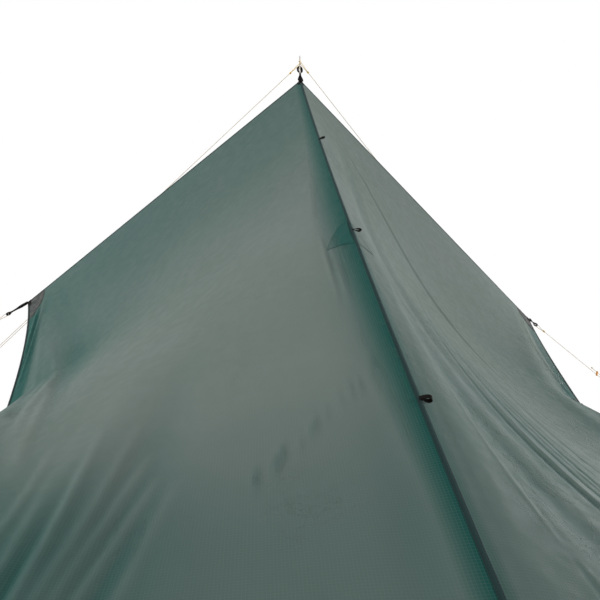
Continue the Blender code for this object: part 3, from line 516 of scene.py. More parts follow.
def stitches(name, path, up, long=0.0034, gap=0.0014, thick=0.00035):
    """A row of thread stitches along a path, each a small raised arch."""
    s = distances(path)
    count = max(int((s[-1] - gap) / (long + gap)), 1)
    start = (s[-1] - count * (long + gap) + gap) / 2 + np.arange(count) * (long + gap)
    where = start[:, None] + STITCH_AT * long

    def along(values):
        return np.stack([np.interp(where, s, values[:, k]) for k in range(3)], -1)

    centre, up_here = along(path), unit(along(np.broadcast_to(unit(up), path.shape)))
    forward = unit(np.gradient(centre, axis=1))
    across = unit(np.cross(forward, up_here))
    up_here = np.cross(across, forward)
    centre = centre + up_here * (STITCH_LIFT * thick)[:, None]
    angle = 2 * math.pi * np.arange(STITCH_SIDES) / STITCH_SIDES
    slim = (STITCH_SLIM * thick)[:, None]
    rings = (centre[:, :, None] + across[:, :, None] * (np.cos(angle) * slim)[..., None]
             + up_here[:, :, None] * (np.sin(angle) * slim)[..., None])
    index = np.arange(where.size * STITCH_SIDES).reshape(*where.shape, STITCH_SIDES)
    faces = [*bands(index[:, :-1], index[:, 1:]), *index[:, 0, ::-1], *index[:, -1]]
    link(mesh_of(name, rings, faces, runs(np.repeat(where.ravel(), STITCH_SIDES), 0.0)), "thread")


# Materials

def feed(tree, socket, value):
    if isinstance(value, bpy.types.NodeSocket):
        tree.links.new(value, socket)
    else:
        socket.default_value = value


def add_node(tree, kind, inputs, out=0, **props):
    """A new node's output, after its properties are set and its inputs fed."""
    node = tree.nodes.new(kind)
    for key, value in props.items():
        setattr(node, key, value)
    for key, value in inputs.items():
        feed(tree, node.inputs[key], value)
    return node.outputs[out]


class Paint:
    """A Principled material, with short calls to add and link nodes."""

    def __init__(self, name, rough, **fixed):
        self.material = bpy.data.materials.new(name)
        self.material.use_nodes = True
        self.tree = self.material.node_tree
        self.shader = self.tree.nodes["Principled BSDF"]
        self.set("Roughness", rough)
        for key, value in fixed.items():
            self.set(key.replace("_", " "), value)

    def set(self, socket, value):
        feed(self.tree, self.shader.inputs[socket], value)

    def add(self, kind, inputs, out=0, **props):
        return add_node(self.tree, kind, inputs, out, **props)

    def math(self, operation, a, b=0.0):
        return self.add("ShaderNodeMath", {0: a, 1: b}, operation=operation)

    def plus(self, a, b):
        return self.math("ADD", a, b)

    def times(self, a, b):
        return self.math("MULTIPLY", a, b)

    def wave(self, value, length):
        return self.math("SINE", self.times(value, 2 * math.pi / length))

    def off_middle(self, value):
        return self.math("ABSOLUTE", self.math("SUBTRACT", value, 0.5))

    def line(self, value, every, width):
        """1 on a thin line every so many metres, 0 between."""
        share = self.math("FRACT", self.math("DIVIDE", value, every))
        return self.between(self.off_middle(share), 0.0, width, 1.0, 0.0)

    def run(self):
        """The piece's own coordinate: metres along and across, and its share of painted shade."""
        return self.add("ShaderNodeAttribute", {}, "Vector", attribute_name="run")

    def place(self):
        return self.add("ShaderNodeTexCoord", {}, "Object")

    def split(self, vector):
        node = self.tree.nodes.new("ShaderNodeSeparateXYZ")
        self.tree.links.new(vector, node.inputs[0])
        return node.outputs[:3]

    def noise(self, vector, scale, detail, rough=0.5, distort=0.0):
        return self.add("ShaderNodeTexNoise", {"Vector": vector, "Scale": scale, "Detail": detail,
                                               "Roughness": rough, "Distortion": distort})

    def between(self, value, low, high, to_low=0.0, to_high=1.0):
        ends = {"From Min": low, "From Max": high, "To Min": to_low, "To Max": to_high}
        return self.add("ShaderNodeMapRange", dict(ends, Value=value), interpolation_type="SMOOTHSTEP")

    def mix(self, share, a, b):
        a, b = ((*colour, 1.0) if isinstance(colour, tuple) else colour for colour in (a, b))
        return self.add("ShaderNodeMix", {0: share, 6: a, 7: b}, 2, data_type="RGBA")

    def bump(self, height, distance, strength, after=None):
        inputs = {"Height": height, "Distance": distance, "Strength": strength}
        return self.add("ShaderNodeBump", inputs if after is None else dict(inputs, Normal=after))

    def done(self, colour):
        """The material, with its plain colour for viewers that draw no nodes."""
        self.material.diffuse_color = (*colour, 1.0)
        return self.material


RIPSTOP_CELL = 0.0058
YARN = 0.0011
CLOTH_LIGHT = (0.160, 0.192, 0.182)
CLOTH_DARK = (0.138, 0.176, 0.158)
# Painted shade: the colour the cloth is mixed toward along the seam, in fold bottoms and in broad shading
CLOTH_SHADE = (0.008, 0.066, 0.057)
GRID_COLOUR = (0.220, 0.265, 0.245)
CREASE_COLOUR = (0.260, 0.300, 0.285)
GRID_WIDTH = 0.13
GRID_SHARE = 0.13
CREASE_SHARE = 0.08
PATCH_YARN = 0.0016


def ripstop():
    """Silicone-coated ripstop: a grid of thicker yarns, fine weave and soft crinkles, with painted shade mixed in
    by each point's shade share.
    """
    p = Paint("ripstop", 0.52, Specular_IOR_Level=0.035)
    run = p.run()
    x, y, painted_shade = p.split(run)
    grid = p.math("MAXIMUM", p.line(x, RIPSTOP_CELL, GRID_WIDTH), p.line(y, RIPSTOP_CELL, GRID_WIDTH))
    weave = p.times(p.wave(x, YARN), p.wave(y, YARN))
    crease = p.between(p.off_middle(p.noise(run, 13.0, 7.0, 0.66, 0.7)), 0.0, 0.026, 1.0, 0.0)
    crease = p.times(crease, p.between(p.noise(run, 2.1, 3.0), 0.50, 0.66))
    base = p.mix(p.between(p.noise(run, 1.3, 3.0, 0.55), 0.33, 0.68), CLOTH_DARK, CLOTH_LIGHT)
    # Painted shade: the cloth mixed toward the shade colour by each point's shade share
    painted_base = p.mix(p.times(grid, GRID_SHARE), p.mix(painted_shade, base, CLOTH_SHADE), GRID_COLOUR)
    p.set("Base Color", p.mix(p.times(crease, CREASE_SHARE), painted_base, CREASE_COLOUR))
    p.set("Roughness", p.between(p.noise(run, 26.0, 4.0), 0.3, 0.7, 0.46, 0.58))
    ground = p.bump(crease, 0.0011, 0.65)
    small = p.bump(p.noise(run, 70.0, 5.0, 0.6, 0.4), 0.0006, 0.30, ground)
    p.set("Normal", p.bump(p.plus(grid, p.times(weave, 0.18)), 0.00014, 0.6, small))
    return p.done(CLOTH_LIGHT)


def woven(name, low, high, rib, rough, bump):
    """Narrow woven tape: ribs across it, a fine herringbone and fuzz."""
    p = Paint(name, rough, Specular_IOR_Level=0.06)
    x, y, _ = p.split(p.run())
    ribs = p.wave(x, rib)
    slant = p.wave(p.plus(x, p.math("ABSOLUTE", y)), rib / 2)
    fuzz = p.noise(p.place(), 900.0, 2.0)
    p.set("Base Color", p.mix(p.between(p.plus(ribs, fuzz), -0.6, 1.7), low, high))
    p.set("Roughness", p.between(fuzz, 0.3, 0.7, rough - 0.06, min(rough + 0.08, 1.0)))
    p.set("Normal", p.bump(p.plus(p.plus(ribs, p.times(slant, 0.45)), p.times(fuzz, 0.8)), bump, 0.8))
    return p.done(high)


def patch_cloth():
    """Heavier coated cloth of the reinforcing patches: plain weave, rubbed grey at its folds."""
    p = Paint("patch", 0.66, Specular_IOR_Level=0.06)
    x, y, _ = p.split(p.run())
    place = p.place()
    rub = p.between(p.noise(place, 34.0, 5.0, 0.6), 0.36, 0.68)
    p.set("Base Color", p.mix(rub, (0.036, 0.046, 0.047), (0.098, 0.098, 0.092)))
    wrinkle = p.bump(p.noise(place, 70.0, 4.0, 0.55, 0.6), 0.0022, 0.6)
    p.set("Normal", p.bump(p.times(p.wave(x, PATCH_YARN), p.wave(y, PATCH_YARN)), 0.00018, 0.7, wrinkle))
    return p.done((0.07, 0.08, 0.08))


TIP_DYED = 0.118
STRANDS = 4.0


def braid(name, low, high, turns_m=420.0, tip=None):
    """Braided cord: two crossing spirals of strands, with a paler crest; its loop may be dyed."""
    p = Paint(name, 0.62, Specular_IOR_Level=0.3, Sheen_Weight=0.2, Sheen_Roughness=0.4)
    x, y, _ = p.split(p.run())
    along, about = p.times(x, turns_m), p.times(y, STRANDS)
    strand = p.math("MAXIMUM", p.wave(p.plus(along, about), 1.0), p.wave(p.math("SUBTRACT", along, about), 1.0))
    tint = p.mix(p.between(strand, -0.3, 1.0), low, high)
    if tip:
        tint = p.mix(p.between(x, TIP_DYED, TIP_DYED + 0.010, 1.0, 0.0), tint, tip)
    p.set("Base Color", tint)
    p.set("Normal", p.bump(strand, 0.00022, 0.9))
    return p.done(high)


def metal(name, colour, rough, grain=(1.0, 1.0, 0.02), wear=None):
    """Drawn or turned metal: fine lines one way, softer blotches, and rubbed places."""
    p = Paint(name, rough, Metallic=1.0)
    place = p.place()
    scaled = p.add("ShaderNodeMapping", {"Vector": place, "Scale": tuple(700.0 * g for g in grain)})
    lines = p.noise(scaled, 1.0, 3.0, 0.6)
    cloud = p.between(p.noise(place, 30.0, 4.0, 0.6), 0.3, 0.75)
    tint = p.mix(cloud, tuple(c * 0.72 for c in colour), colour)
    if wear:
        tint = p.mix(p.between(p.noise(scaled, 0.35, 6.0, 0.75), 0.60, 0.66), tint, wear)
    p.set("Base Color", tint)
    p.set("Roughness", p.between(lines, 0.25, 0.75, rough - 0.07, rough + 0.12))
    p.set("Normal", p.bump(lines, 0.00003, 0.5))
    return p.done(colour)


def moulded(name, colour, rough=0.48, grain=900.0, bump=0.00005, scuff=(0.11, 0.11, 0.11)):
    """Moulded plastic or rubber with a fine sparked grain and scuffed patches."""
    p = Paint(name, rough, Specular_IOR_Level=0.4)
    place = p.place()
    scuffed = p.between(p.noise(place, 55.0, 7.0, 0.72), 0.57, 0.72)
    p.set("Base Color", p.mix(p.times(scuffed, 0.5), colour, scuff))
    p.set("Roughness", p.between(scuffed, 0.0, 1.0, rough, min(rough + 0.2, 1.0)))
    p.set("Normal", p.bump(p.noise(place, grain, 2.0), bump, 0.6))
    return p.done(colour)


CORD_COLOURS = (0.32, 0.22, 0.09), (0.60, 0.47, 0.27)
FINISH = {
    "ripstop": ripstop(),
    "binding": woven("binding", (0.006, 0.014, 0.014), (0.022, 0.036, 0.036), 0.0012, 0.62, 0.00008),
    "tape": woven("tape", (0.010, 0.026, 0.027), (0.026, 0.052, 0.053), 0.0012, 0.62, 0.00006),
    "patch": patch_cloth(),
    "webbing": woven("webbing", (0.003, 0.003, 0.003), (0.016, 0.014, 0.012), 0.0017, 0.78, 0.00030),
    "thread": woven("thread", (0.006, 0.010, 0.010), (0.030, 0.042, 0.042), 0.0006, 0.60, 0.00005),
    "cord": braid("cord", *CORD_COLOURS),
    "tipped_cord": braid("tipped_cord", *CORD_COLOURS, tip=(0.72, 0.46, 0.06)),
    "knot": braid("knot", (0.48, 0.27, 0.03), (0.86, 0.58, 0.10), 300.0),
    "aluminium": metal("aluminium", (0.60, 0.60, 0.58), 0.34, wear=(0.74, 0.74, 0.73)),
    "steel": metal("steel", (0.50, 0.47, 0.41), 0.30, (1.0, 1.0, 0.2)),
    "plastic": moulded("plastic", (0.016, 0.016, 0.018)),
    "rubber": moulded("rubber", (0.022, 0.022, 0.023), 0.82, 500.0, 0.00010, (0.16, 0.15, 0.13)),
    "anodised": metal("anodised", (0.62, 0.26, 0.03), 0.38, (0.02, 1.0, 1.0), wear=(0.70, 0.66, 0.60)),
}


# Guylines, as the part lays them

CORD_R = 0.001
KNOT_R = 0.0038
KNOT_LENGTH = 0.011
RUNNER_PITCH = 0.014
TAIL = 0.040
TAIL_KNOT = (0.0030, 0.009)
GAP = 0.0003
PEAK_LINES = {"left": (2.373, 0.920, -2.246), "right": (2.373, 0.920, -2.455)}
CORNER_LINE = (0.810, 0.450, -0.380)
PEAK_LINE_Z = {"left": 2.191, "right": 2.2015}
PEAK_STATIONS = (0.056, 1.350, 0.520)
CORNER_STATIONS = (0.060, 0.490, 0.090)
PEAK_TURN = (0.0046, 0.0056)
CORNER_TURN = (0.0062, 0.0030)
CORNER_ANCHOR_IN = 0.0085
STRAP_LENGTHS = {"left": 0.118, "right": 0.062}
STRAP_EYE = 0.028
LEG_STEPS = 10
TURN_STEPS = 18
WIDEN = 1.3
KNOT_TURNS, TAIL_TURNS = 4.5, 3.5
KNOT_WRAP, TAIL_WRAP = 0.00095, 0.0009
WRAP_STEPS = 14
# The turn that crosses back over the wraps: share of the way back, angle, and lift
CROSSING = ((0.0, 0.2, 0.2), (0.25, 0.9, 0.75), (0.5, 1.6, 0.9), (0.75, 2.3, 0.75), (1.0, 3.0, 0.2))


def cord_route(anchor, line_dir, loop_dir, turn, stations):
    """Centre line of one guyline: loop round its anchor, knot, straight run, runner, end loop, tail."""
    d = unit(line_dir)
    s = unit(loop_dir - d * (loop_dir @ d))
    half, past = turn
    knot_at, run, doubled = stations
    far = run + doubled
    beside = 2.5 * CORD_R
    face = knot_at - KNOT_LENGTH / 2 - GAP
    legs = np.linspace(0, 1, LEG_STEPS + 1)
    bends = np.linspace(0, math.pi, TURN_STEPS + 1)[1:-1]
    route = [(face * (1 - t), -(beside + (half - beside) * ease(t * WIDEN))) for t in legs]
    route += [(-past * math.sin(t), -half * math.cos(t)) for t in bends]
    route += [(face * t, half * (1 - ease(t * WIDEN + 1 - WIDEN))) for t in legs]
    route += [(a, 0.0) for a in (knot_at, (knot_at + run) / 2, run, run + doubled / 2, far)]
    route += [(far + RUNNER_PITCH / 2 * math.sin(t), RUNNER_PITCH / 2 * (1 - math.cos(t))) for t in bends]
    route += [(a, RUNNER_PITCH) for a in (far, run + doubled / 2, run, run - TAIL)]
    route = np.array(route)
    return anchor + d * route[:, :1] + s * route[:, 1:], d, s


def wound_knot(name, centre, axis, side, radius, length, turns, wrap, node):
    """A slipped hitch: the cord wound round itself, and one turn crossing back over the wraps."""
    other = np.cross(axis, side)
    inner = radius - wrap
    t = np.linspace(0, 1, int(turns * WRAP_STEPS) + 1)
    angle = 2 * math.pi * turns * t
    coil = (centre + axis * ((t - 0.5) * (length - 2 * wrap))[:, None]
            + side * (inner * np.cos(angle))[:, None] + other * (inner * np.sin(angle))[:, None])
    over = [centre + axis * (length * (0.5 - back) * 0.86)
            + (side * math.cos(a) + other * math.sin(a)) * (inner + wrap * lift) for back, a, lift in CROSSING]
    crossing = tube(name + "_1", smooth_path(over), wrap * 0.85, 9)
    return link(joined(name, tube(name + "_0", coil, wrap, 9), crossing), "knot", node)


def guyline(tag, anchor, line_dir, loop_dir, turn, stations):
    path, d, s = cord_route(anchor, line_dir, loop_dir, turn, stations)
    knot_at, run, _ = stations
    cord = link(tube(f"cord_{tag}", path, CORD_R, 12), "tipped_cord" if tag.startswith("peak") else "cord",
                f"guyline_{tag}")
    knot = wound_knot(f"hitch_{tag}", anchor + d * knot_at, d, s, KNOT_R, KNOT_LENGTH, KNOT_TURNS, KNOT_WRAP,
                      f"knot_{tag}")
    stop = anchor + d * (run - TAIL - GAP - TAIL_KNOT[1] / 2) + s * RUNNER_PITCH
    end = wound_knot(f"stopper_{tag}", stop, d, s, *TAIL_KNOT, TAIL_TURNS, TAIL_WRAP, f"tail_knot_{tag}")


def guylines():
    for half in HALVES:
        d = sided(PEAK_LINES[half], half)
        guyline(f"peak_{half}", np.array([0.0, 0.0, PEAK_LINE_Z[half]]), d, np.cross(d, UP), PEAK_TURN,
                PEAK_STATIONS)
        d = unit(sided(CORNER_LINE, half))
        up = np.cross(d, np.cross(UP, d))
        eye_end = sided(REAR, half) + d * (STRAP_LENGTHS[half] - CORNER_ANCHOR_IN)
        guyline(f"corner_{half}", eye_end, d, up, CORNER_TURN, CORNER_STATIONS)


# Cloth pieces

CLOTH = 0.0005
HEM_U = HEM_WIDTH / RIDGE_LENGTH
HEM_V = HEM_WIDTH / HALF_BACK
CLOTHS = {half: Cloth(half) for half in HALVES}


def cloth_run(u, v, painted_shades=0.0):
    return runs(u * RIDGE_LENGTH, v * HALF_BACK, painted_shades)


# Painted shade in a band along the seam: reach in v at each u, and how dark it is
SEAM_SHADE_BAND = {"left": ((0.0, 0.25, 0.42, 0.70, 0.83, 1.0), (0.050, 0.075, 0.100, 0.070, 0.062, 0.060), 1.0),
             "right": ((0.0, 0.50, 0.60, 0.78, 0.90, 1.0), (0.010, 0.030, 0.060, 0.055, 0.050, 0.050), 0.75)}
# Painted shade in folds: share of the main folds and the puckers in the depth, the depth painted fully
# shaded, and the crest height whose painted light takes as much away
FOLD_SHARE, PUCKER_SHARE = 0.35, 0.9
FULL_DEPTH, FULL_HEIGHT = 0.016, 0.045


def rise(t, start, length):
    """0 up to the start, 1 from a length past it."""
    return ease((t - start) / length)


def painted_shade(u, v, half):
    """Painted shade: 0 on open cloth to 1 along the seam and in fold bottoms, plus broad shading; fold crests
    lighter.
    """
    stations, reach, strength = SEAM_SHADE_BAND[half]
    seam_shade = strength * (1 - ease(v / np.interp(u, stations, reach)))
    creased = fold_sum(CREASES[half], u, v)
    depth = -(creased + FOLD_SHARE * fold_sum(FOLDS[half], u, v))
    # Painted shade toward the outer side, over all but the peak end
    outer = 0.34 * rise(v, 0.50, 0.35) * rise(u, 0.20, 0.15)
    # Painted shade beside the side hem, over the upper third
    hem_shade = 0.55 * rise(v, 0.94, 0.03) * rise(u, 0.05, 0.06) * (1 - rise(u, 0.32, 0.12))
    # Broad painted shade: on the left darker toward the peak, the foot and the lower outer side; on the right
    # darker toward the foot and the outer side, and in one patch
    if half == "left":
        broad_shade = (0.58 * (1 - rise(u, 0.03, 0.50)) + 0.44 * rise(u, 0.68, 0.18)
                      + 0.36 * rise(u, 0.64, 0.22) * rise(v, 0.20, 0.30) + 0.10 * rise(v, 0.30, 0.40))
        depth += PUCKER_SHARE * puckers(*flat_place(u, v))
    else:
        broad_shade = (0.08 + 0.36 * rise(u, 0.35, 0.45) + 0.08 * rise(v, 0.60, 0.30)
                      + 0.20 * np.exp(-((u - 0.66) / 0.14) ** 2 - ((v - 0.36) / 0.10) ** 2))
    shaded = np.maximum(seam_shade, broad_shade) + outer + hem_shade + np.clip(depth, 0.0, None) / FULL_DEPTH
    # Painted light on fold crests takes shade away
    return np.clip(shaded - np.clip(creased, 0.0, None) / FULL_HEIGHT, 0.0, 1.0)


def panels():
    u, v = np.meshgrid(U_LINES, V_LINES, indexing="ij")
    for half, cloth in CLOTHS.items():
        # Each cloth point carries its share of painted shade
        data = sheet_mesh(f"{half}_cloth", cloth.outer, cloth.outer - cloth.normal * CLOTH,
                          cloth_run(u, v, painted_shade(u, v, half)))
        link(data, "ripstop", f"{half}_panel")


HEM_PROFILE = ((0.0, 0.35), (0.06, 0.72), (0.30, 0.86), (0.70, 0.92), (0.94, 0.75), (1.02, 0.10),
               (0.96, -0.60), (0.70, -0.85), (0.30, -0.85), (0.04, -0.45))
HEM_THICK = 0.0011
HEM_STEP = 0.010
HEM_STITCH = (0.80, 0.92)


def hem_rail(inset):
    """Points (u, v) round the back, side and front edges, an inset in hem widths from them."""
    near, far, out = inset * HEM_U, 1 - inset * HEM_U, 1 - inset * HEM_V
    back = np.linspace(0, out, int(HALF_BACK / HEM_STEP))
    side = np.linspace(near, far, int(RIDGE_LENGTH / HEM_STEP))[1:]
    front = np.linspace(out, 0, int(HALF_BACK / HEM_STEP))[1:]
    u = np.concatenate([np.full_like(back, near), side, np.full_like(front, far)])
    return u, np.concatenate([back, np.full_like(side, out), front])


def hems():
    """Rolled hem: one soft-edged fold along the back, side and front edges of each half."""
    for half, cloth in CLOTHS.items():
        rings = []
        for across, height in HEM_PROFILE:
            u, v = hem_rail(1 - across)
            rings.append(cloth.at(np.clip(u, 0, 1), np.clip(v, 0, 1), height * HEM_THICK - CLOTH / 2)
                         + edge_reach(cloth, u, v))
        rings = np.stack(rings, 1)
        rings[[0, -1], :, 0] = SEAM_GAP / 2 * HALVES[half]
        run = runs(distances(rings[:, 0])[:, None], np.array([a for a, _ in HEM_PROFILE]) * HEM_WIDTH)
        link(skin(f"{half}_binding", rings, run), "binding", f"{half}_hem")
        u, v = hem_rail(HEM_STITCH[0])
        stitches(f"{half}_hem_stitches", cloth.at(u, v, HEM_THICK * HEM_STITCH[1] - CLOTH / 2), cloth.up(u, v))


def edge_reach(cloth, u, v):
    """How far a hem point past the cloth's own edge lies outside it."""
    step = 0.01
    u_in, v_in = np.clip(u, 0, 1), np.clip(v, 0, 1)
    slope_u = cloth.at(np.clip(u_in + step, 0, 1), v_in) - cloth.at(np.clip(u_in - step, 0, 1), v_in)
    slope_v = cloth.at(u_in, np.clip(v_in + step, 0, 1)) - cloth.at(u_in, np.clip(v_in - step, 0, 1))
    return (slope_u * (u - u_in)[..., None] + slope_v * (v - v_in)[..., None]) / step


PATCH_LIFT = 0.00035
PATCH_THICK = 0.0007
PATCH_ROLL = (0.25, 0.85, 1.0)
# Where the patches stop short of the hem, in hem widths
HEM_CLEAR = 1.06
# Stitch rows, in shares of a patch's depth or the tape's half width
CORNER_ROW, SIDE_ROW, TAPE_ROW = 0.93, 0.80, 0.66
# Curve of a side patch, and its least depth
SIDE_CURVE, SIDE_LEAST = 1.7, 0.04


def patch(name, cloth, u, v, node, row, finish="patch", run=None):
    """A sewn piece over a grid of (u, v): its border is turned under, and it has one row of stitches."""
    rows, cols = u.shape
    i = np.minimum(np.arange(rows), rows - 1 - np.arange(rows))[:, None]
    j = np.minimum(np.arange(cols), cols - 1 - np.arange(cols))[None]
    roll = np.interp(np.minimum(i, j), (0, 1, 2), PATCH_ROLL)
    top, low = cloth.at(u, v, PATCH_LIFT + PATCH_THICK * roll), cloth.at(u, v, PATCH_LIFT)
    link(sheet_mesh(name, top, low, cloth_run(u, v) if run is None else run), finish, node)
    stitches(f"{name}_stitches_0", cloth.at(*row, PATCH_LIFT + PATCH_THICK), cloth.up(*row))


def corner_patches():
    long_u, long_v = CORNER_PATCH[0] / RIDGE_LENGTH, CORNER_PATCH[1] / HALF_BACK
    reach = np.concatenate([[0.02], np.linspace(0.06, 0.96, 16), [1.0]])
    r, a = np.meshgrid(reach, np.linspace(0.0, math.pi / 2, 22), indexing="ij")
    row_a = np.linspace(0.05, math.pi / 2 - 0.05, 40)

    def spot(radius, turn, place):
        u = HEM_U * HEM_CLEAR + long_u * radius * np.cos(turn)
        return (1 - u if place == "front" else u), 1 - HEM_V * HEM_CLEAR - long_v * radius * np.sin(turn)

    for half, cloth in CLOTHS.items():
        for place in ("rear", "front"):
            patch(f"{place}_corner_piece_{half}", cloth, *spot(r, a, place), f"{place}_corner_patch_{half}",
                  spot(CORNER_ROW, row_a, place))


def side_patches():
    half_u, deep_v = TIE_PATCH[0] / RIDGE_LENGTH, TIE_PATCH[1] / TIE_WIDTH
    edge_v = 1 - HEM_V * HEM_CLEAR
    x, y = np.meshgrid(np.linspace(-1, 1, 21), np.linspace(0.0, 1.0, 12), indexing="ij")
    v = edge_v - deep_v * (SIDE_LEAST + (1 - SIDE_LEAST) * (1 - np.abs(x) ** SIDE_CURVE)) * y
    t = np.linspace(-0.8, 0.8, 24)
    row_v = edge_v - deep_v * (1 - np.abs(t) ** SIDE_CURVE) * SIDE_ROW
    for half, cloth in CLOTHS.items():
        for k in (1, 2):
            patch(f"side_piece_{half}_{k}", cloth, k / 3 + half_u * x, v, f"side_patch_{half}_{k}",
                  (k / 3 + half_u * t, row_v))


# Outline of the centre kite: metres down the ridge from its apex, and across
KITE_DOWN = (-0.014, -0.011, 0.022, 0.078, 0.090, 0.122)
KITE_OUT = (0.006, 0.038, 0.064, 0.086, 0.046, 0.006)
# Extra painted shade on the kite, where its doubled cloth lets less light through
KITE_SHADE = {"left": 0.20, "right": 0.10}
# Where its halves start beside the seam, their least reach, and how far in they are sewn
KITE_START, KITE_LEAST = 0.0058, 0.0064
KITE_ROW_IN, KITE_ROW_LEAST = 0.004, 0.006


def centre_patches():
    rows = np.linspace(0.0, 1.0, 40)
    s = np.interp(rows, np.linspace(0, 1, len(KITE_DOWN)), KITE_DOWN)
    out = np.interp(s, KITE_DOWN, KITE_OUT)
    share = np.concatenate([np.linspace(0, 0.94, 14), [0.98, 1.0]])
    u = np.broadcast_to((KITE_APEX + s / RIDGE_LENGTH)[:, None], (len(s), len(share)))
    v = (KITE_START + (np.maximum(out, KITE_LEAST) - KITE_START)[:, None] * share) / KITE_WIDTH
    inner = np.interp(np.linspace(0.05, 0.95, 90), rows, s)
    inside = np.maximum(np.interp(inner, KITE_DOWN, KITE_OUT) - KITE_ROW_IN, KITE_ROW_LEAST)
    row = (KITE_APEX + inner / RIDGE_LENGTH, inside / KITE_WIDTH)
    for half, cloth in CLOTHS.items():
        # The kite takes the cloth's painted shade plus its own extra share
        doubled = cloth_run(u, v, np.clip(painted_shade(u, v, half) + KITE_SHADE[half], 0.0, 1.0))
        patch(f"centre_piece_{half}", cloth, u, v, f"centre_patch_{half}", row, "ripstop", doubled)


STRIP_SHARES = np.array([-1.0, -0.93, -0.5, -0.06, 0.0, 0.06, 0.5, 0.93, 1.0])
STRIP_EDGE = 0.35
TAPE_THICK = 0.0008
CAP_THICK = 0.0011


def ridge_strip(name, start, end, count, half_width, thick, finish, node):
    """Tape folded over the seam, its edges drawn down onto both halves."""
    u = np.linspace(start, end, count)
    tops, lows = [], []
    for s in STRIP_SHARES:
        cloth = CLOTHS["left" if s < 0 else "right"]
        v = np.full_like(u, abs(s) * half_width / TIE_WIDTH)
        top = cloth.at(u, v, PATCH_LIFT + thick * (STRIP_EDGE if abs(s) == 1.0 else 1.0))
        low = cloth.at(u, v, PATCH_LIFT)
        if s == 0.0:
            top[:, 0], low[:, 0] = 0.0, 0.0
        tops.append(top)
        lows.append(low)
    run = runs((u * RIDGE_LENGTH)[:, None], STRIP_SHARES * half_width)
    link(sheet_mesh(name, np.stack(tops, 1), np.stack(lows, 1), run), finish, node)


def seam():
    start = PEAK_PATCH_LENGTH / RIDGE_LENGTH
    ridge_strip("seam_tape", start, 1 - HEM_U * 0.2, 500, TAPE_HALF, TAPE_THICK, "tape", "ridge_tape")
    ridge_strip("peak_cap", 0.0005, start - 0.0001, 20, PEAK_PATCH_HALF, CAP_THICK, "webbing", "peak_patch")
    u = np.linspace(start + 0.001, 1 - HEM_U, 900)
    v = np.full_like(u, TAPE_HALF * TAPE_ROW / TIE_WIDTH)
    for half, cloth in CLOTHS.items():
        stitches(f"seam_stitches_{half}", cloth.at(u, v, PATCH_LIFT + TAPE_THICK), cloth.up(u, v))


# Webbing

WEB_WIDTH = 0.008
WEB_THICK = 0.0011
# Outlines of the loops, in shares of their reach and span. The first three are one side of an oval, and the
# ridge loop's goes all the way round with its reach in metres.
EDGE_LOOP = ((-0.10, 0.02), (0.06, 0.10), (0.28, 0.36), (0.55, 0.50), (0.80, 0.44), (0.97, 0.18))
STRAP_LOOP = ((-0.15, 0.05), (0.10, 0.12), (0.35, 0.40), (0.62, 0.50), (0.86, 0.36), (0.985, 0.0))
PEAK_LOOP = ((-0.05, 0.04), (0.08, 0.16), (0.30, 0.40), (0.58, 0.47), (0.84, 0.36), (0.985, 0.0))
RIDGE_LOOP = ((-0.004, 0.04), (0.003, 0.30), (0.010, 0.50), (0.016, 0.44), (0.0195, 0.0), (0.016, -0.42),
              (0.010, -0.40), (0.003, -0.12), (-0.004, -0.04))
# Each ridge loop lies a little differently: its rise, its twist in degrees and how open it is
RIDGE_LOOP_SHAPES = ((0.50, 10.0, 0.30), (-0.05, -62.0, 0.42), (-0.10, 34.0, 0.66))
RIDGE_LOOP_SPAN = 0.0150
# Height of its feet and its middle over the seam, and the bar tacked across its feet
LOOP_FOOT, LOOP_MIDDLE = 0.0016, 0.0030
TACK_HALF, TACK_UP, TACK_OUT = 0.0036, 0.0012, 0.0025


def oval(base, out, along, side, reach, span):
    """Path of a loop from one side of its outline."""
    shape = side + tuple((a, -b) for a, b in side[::-1] if b)
    return smooth_path([base + out * (a * reach) + along * (b * span) for a, b in shape], 5)


def ridge_loops():
    """Loops sewn into the seam, standing off to the right with their width along the ridge."""
    for k, (u, (rise, twist, open_by)) in enumerate(zip(RIDGE_LOOPS, RIDGE_LOOP_SHAPES)):
        base = ridge(u) + RIDGE_UP * LOOP_FOOT
        span = RIDGE_LOOP_SPAN * open_by
        out = unit(X_DIR + RIDGE_UP * rise)
        up = unit(RIDGE_UP - out * (RIDGE_UP @ out))
        middle = base + up * (LOOP_MIDDLE + 0.20 * span)
        path = smooth_path([middle + out * a + up * (b * span) for a, b in RIDGE_LOOP])
        angle = (np.radians(twist) * np.sin(math.pi * np.linspace(0, 1, len(path))))[:, None]
        widths = RIDGE_DIR * np.cos(angle) + np.cross(out, RIDGE_DIR) * np.sin(angle)
        link(web(f"ridge_web_{k + 1}", path, widths, WEB_WIDTH, WEB_THICK), "webbing", f"ridge_loop_{k + 1}")
        bar = [base + RIDGE_DIR * s + RIDGE_UP * TACK_UP + X_DIR * TACK_OUT for s in (-TACK_HALF, 0.0, TACK_HALF)]
        stitches(f"ridge_tack_{k + 1}", smooth_path(bar, 4), RIDGE_UP, long=0.0011, gap=0.0001, thick=0.0005)


EDGE_REACH, EDGE_SPAN = 0.0225, 0.0175
EDGE_OUT = 0.0022
PEG_SHARE = 0.98


def flat_loop(name, base, out, along, share, node):
    """Loop sewn at an edge: two legs leave the hem together and open into an oval."""
    out = unit(out)
    along = unit(along - out * (along @ out))
    path = oval(base, out, along, EDGE_LOOP, EDGE_REACH, EDGE_SPAN)
    link(web(name, path, np.cross(out, along), WEB_WIDTH * share, WEB_THICK), "webbing", node)


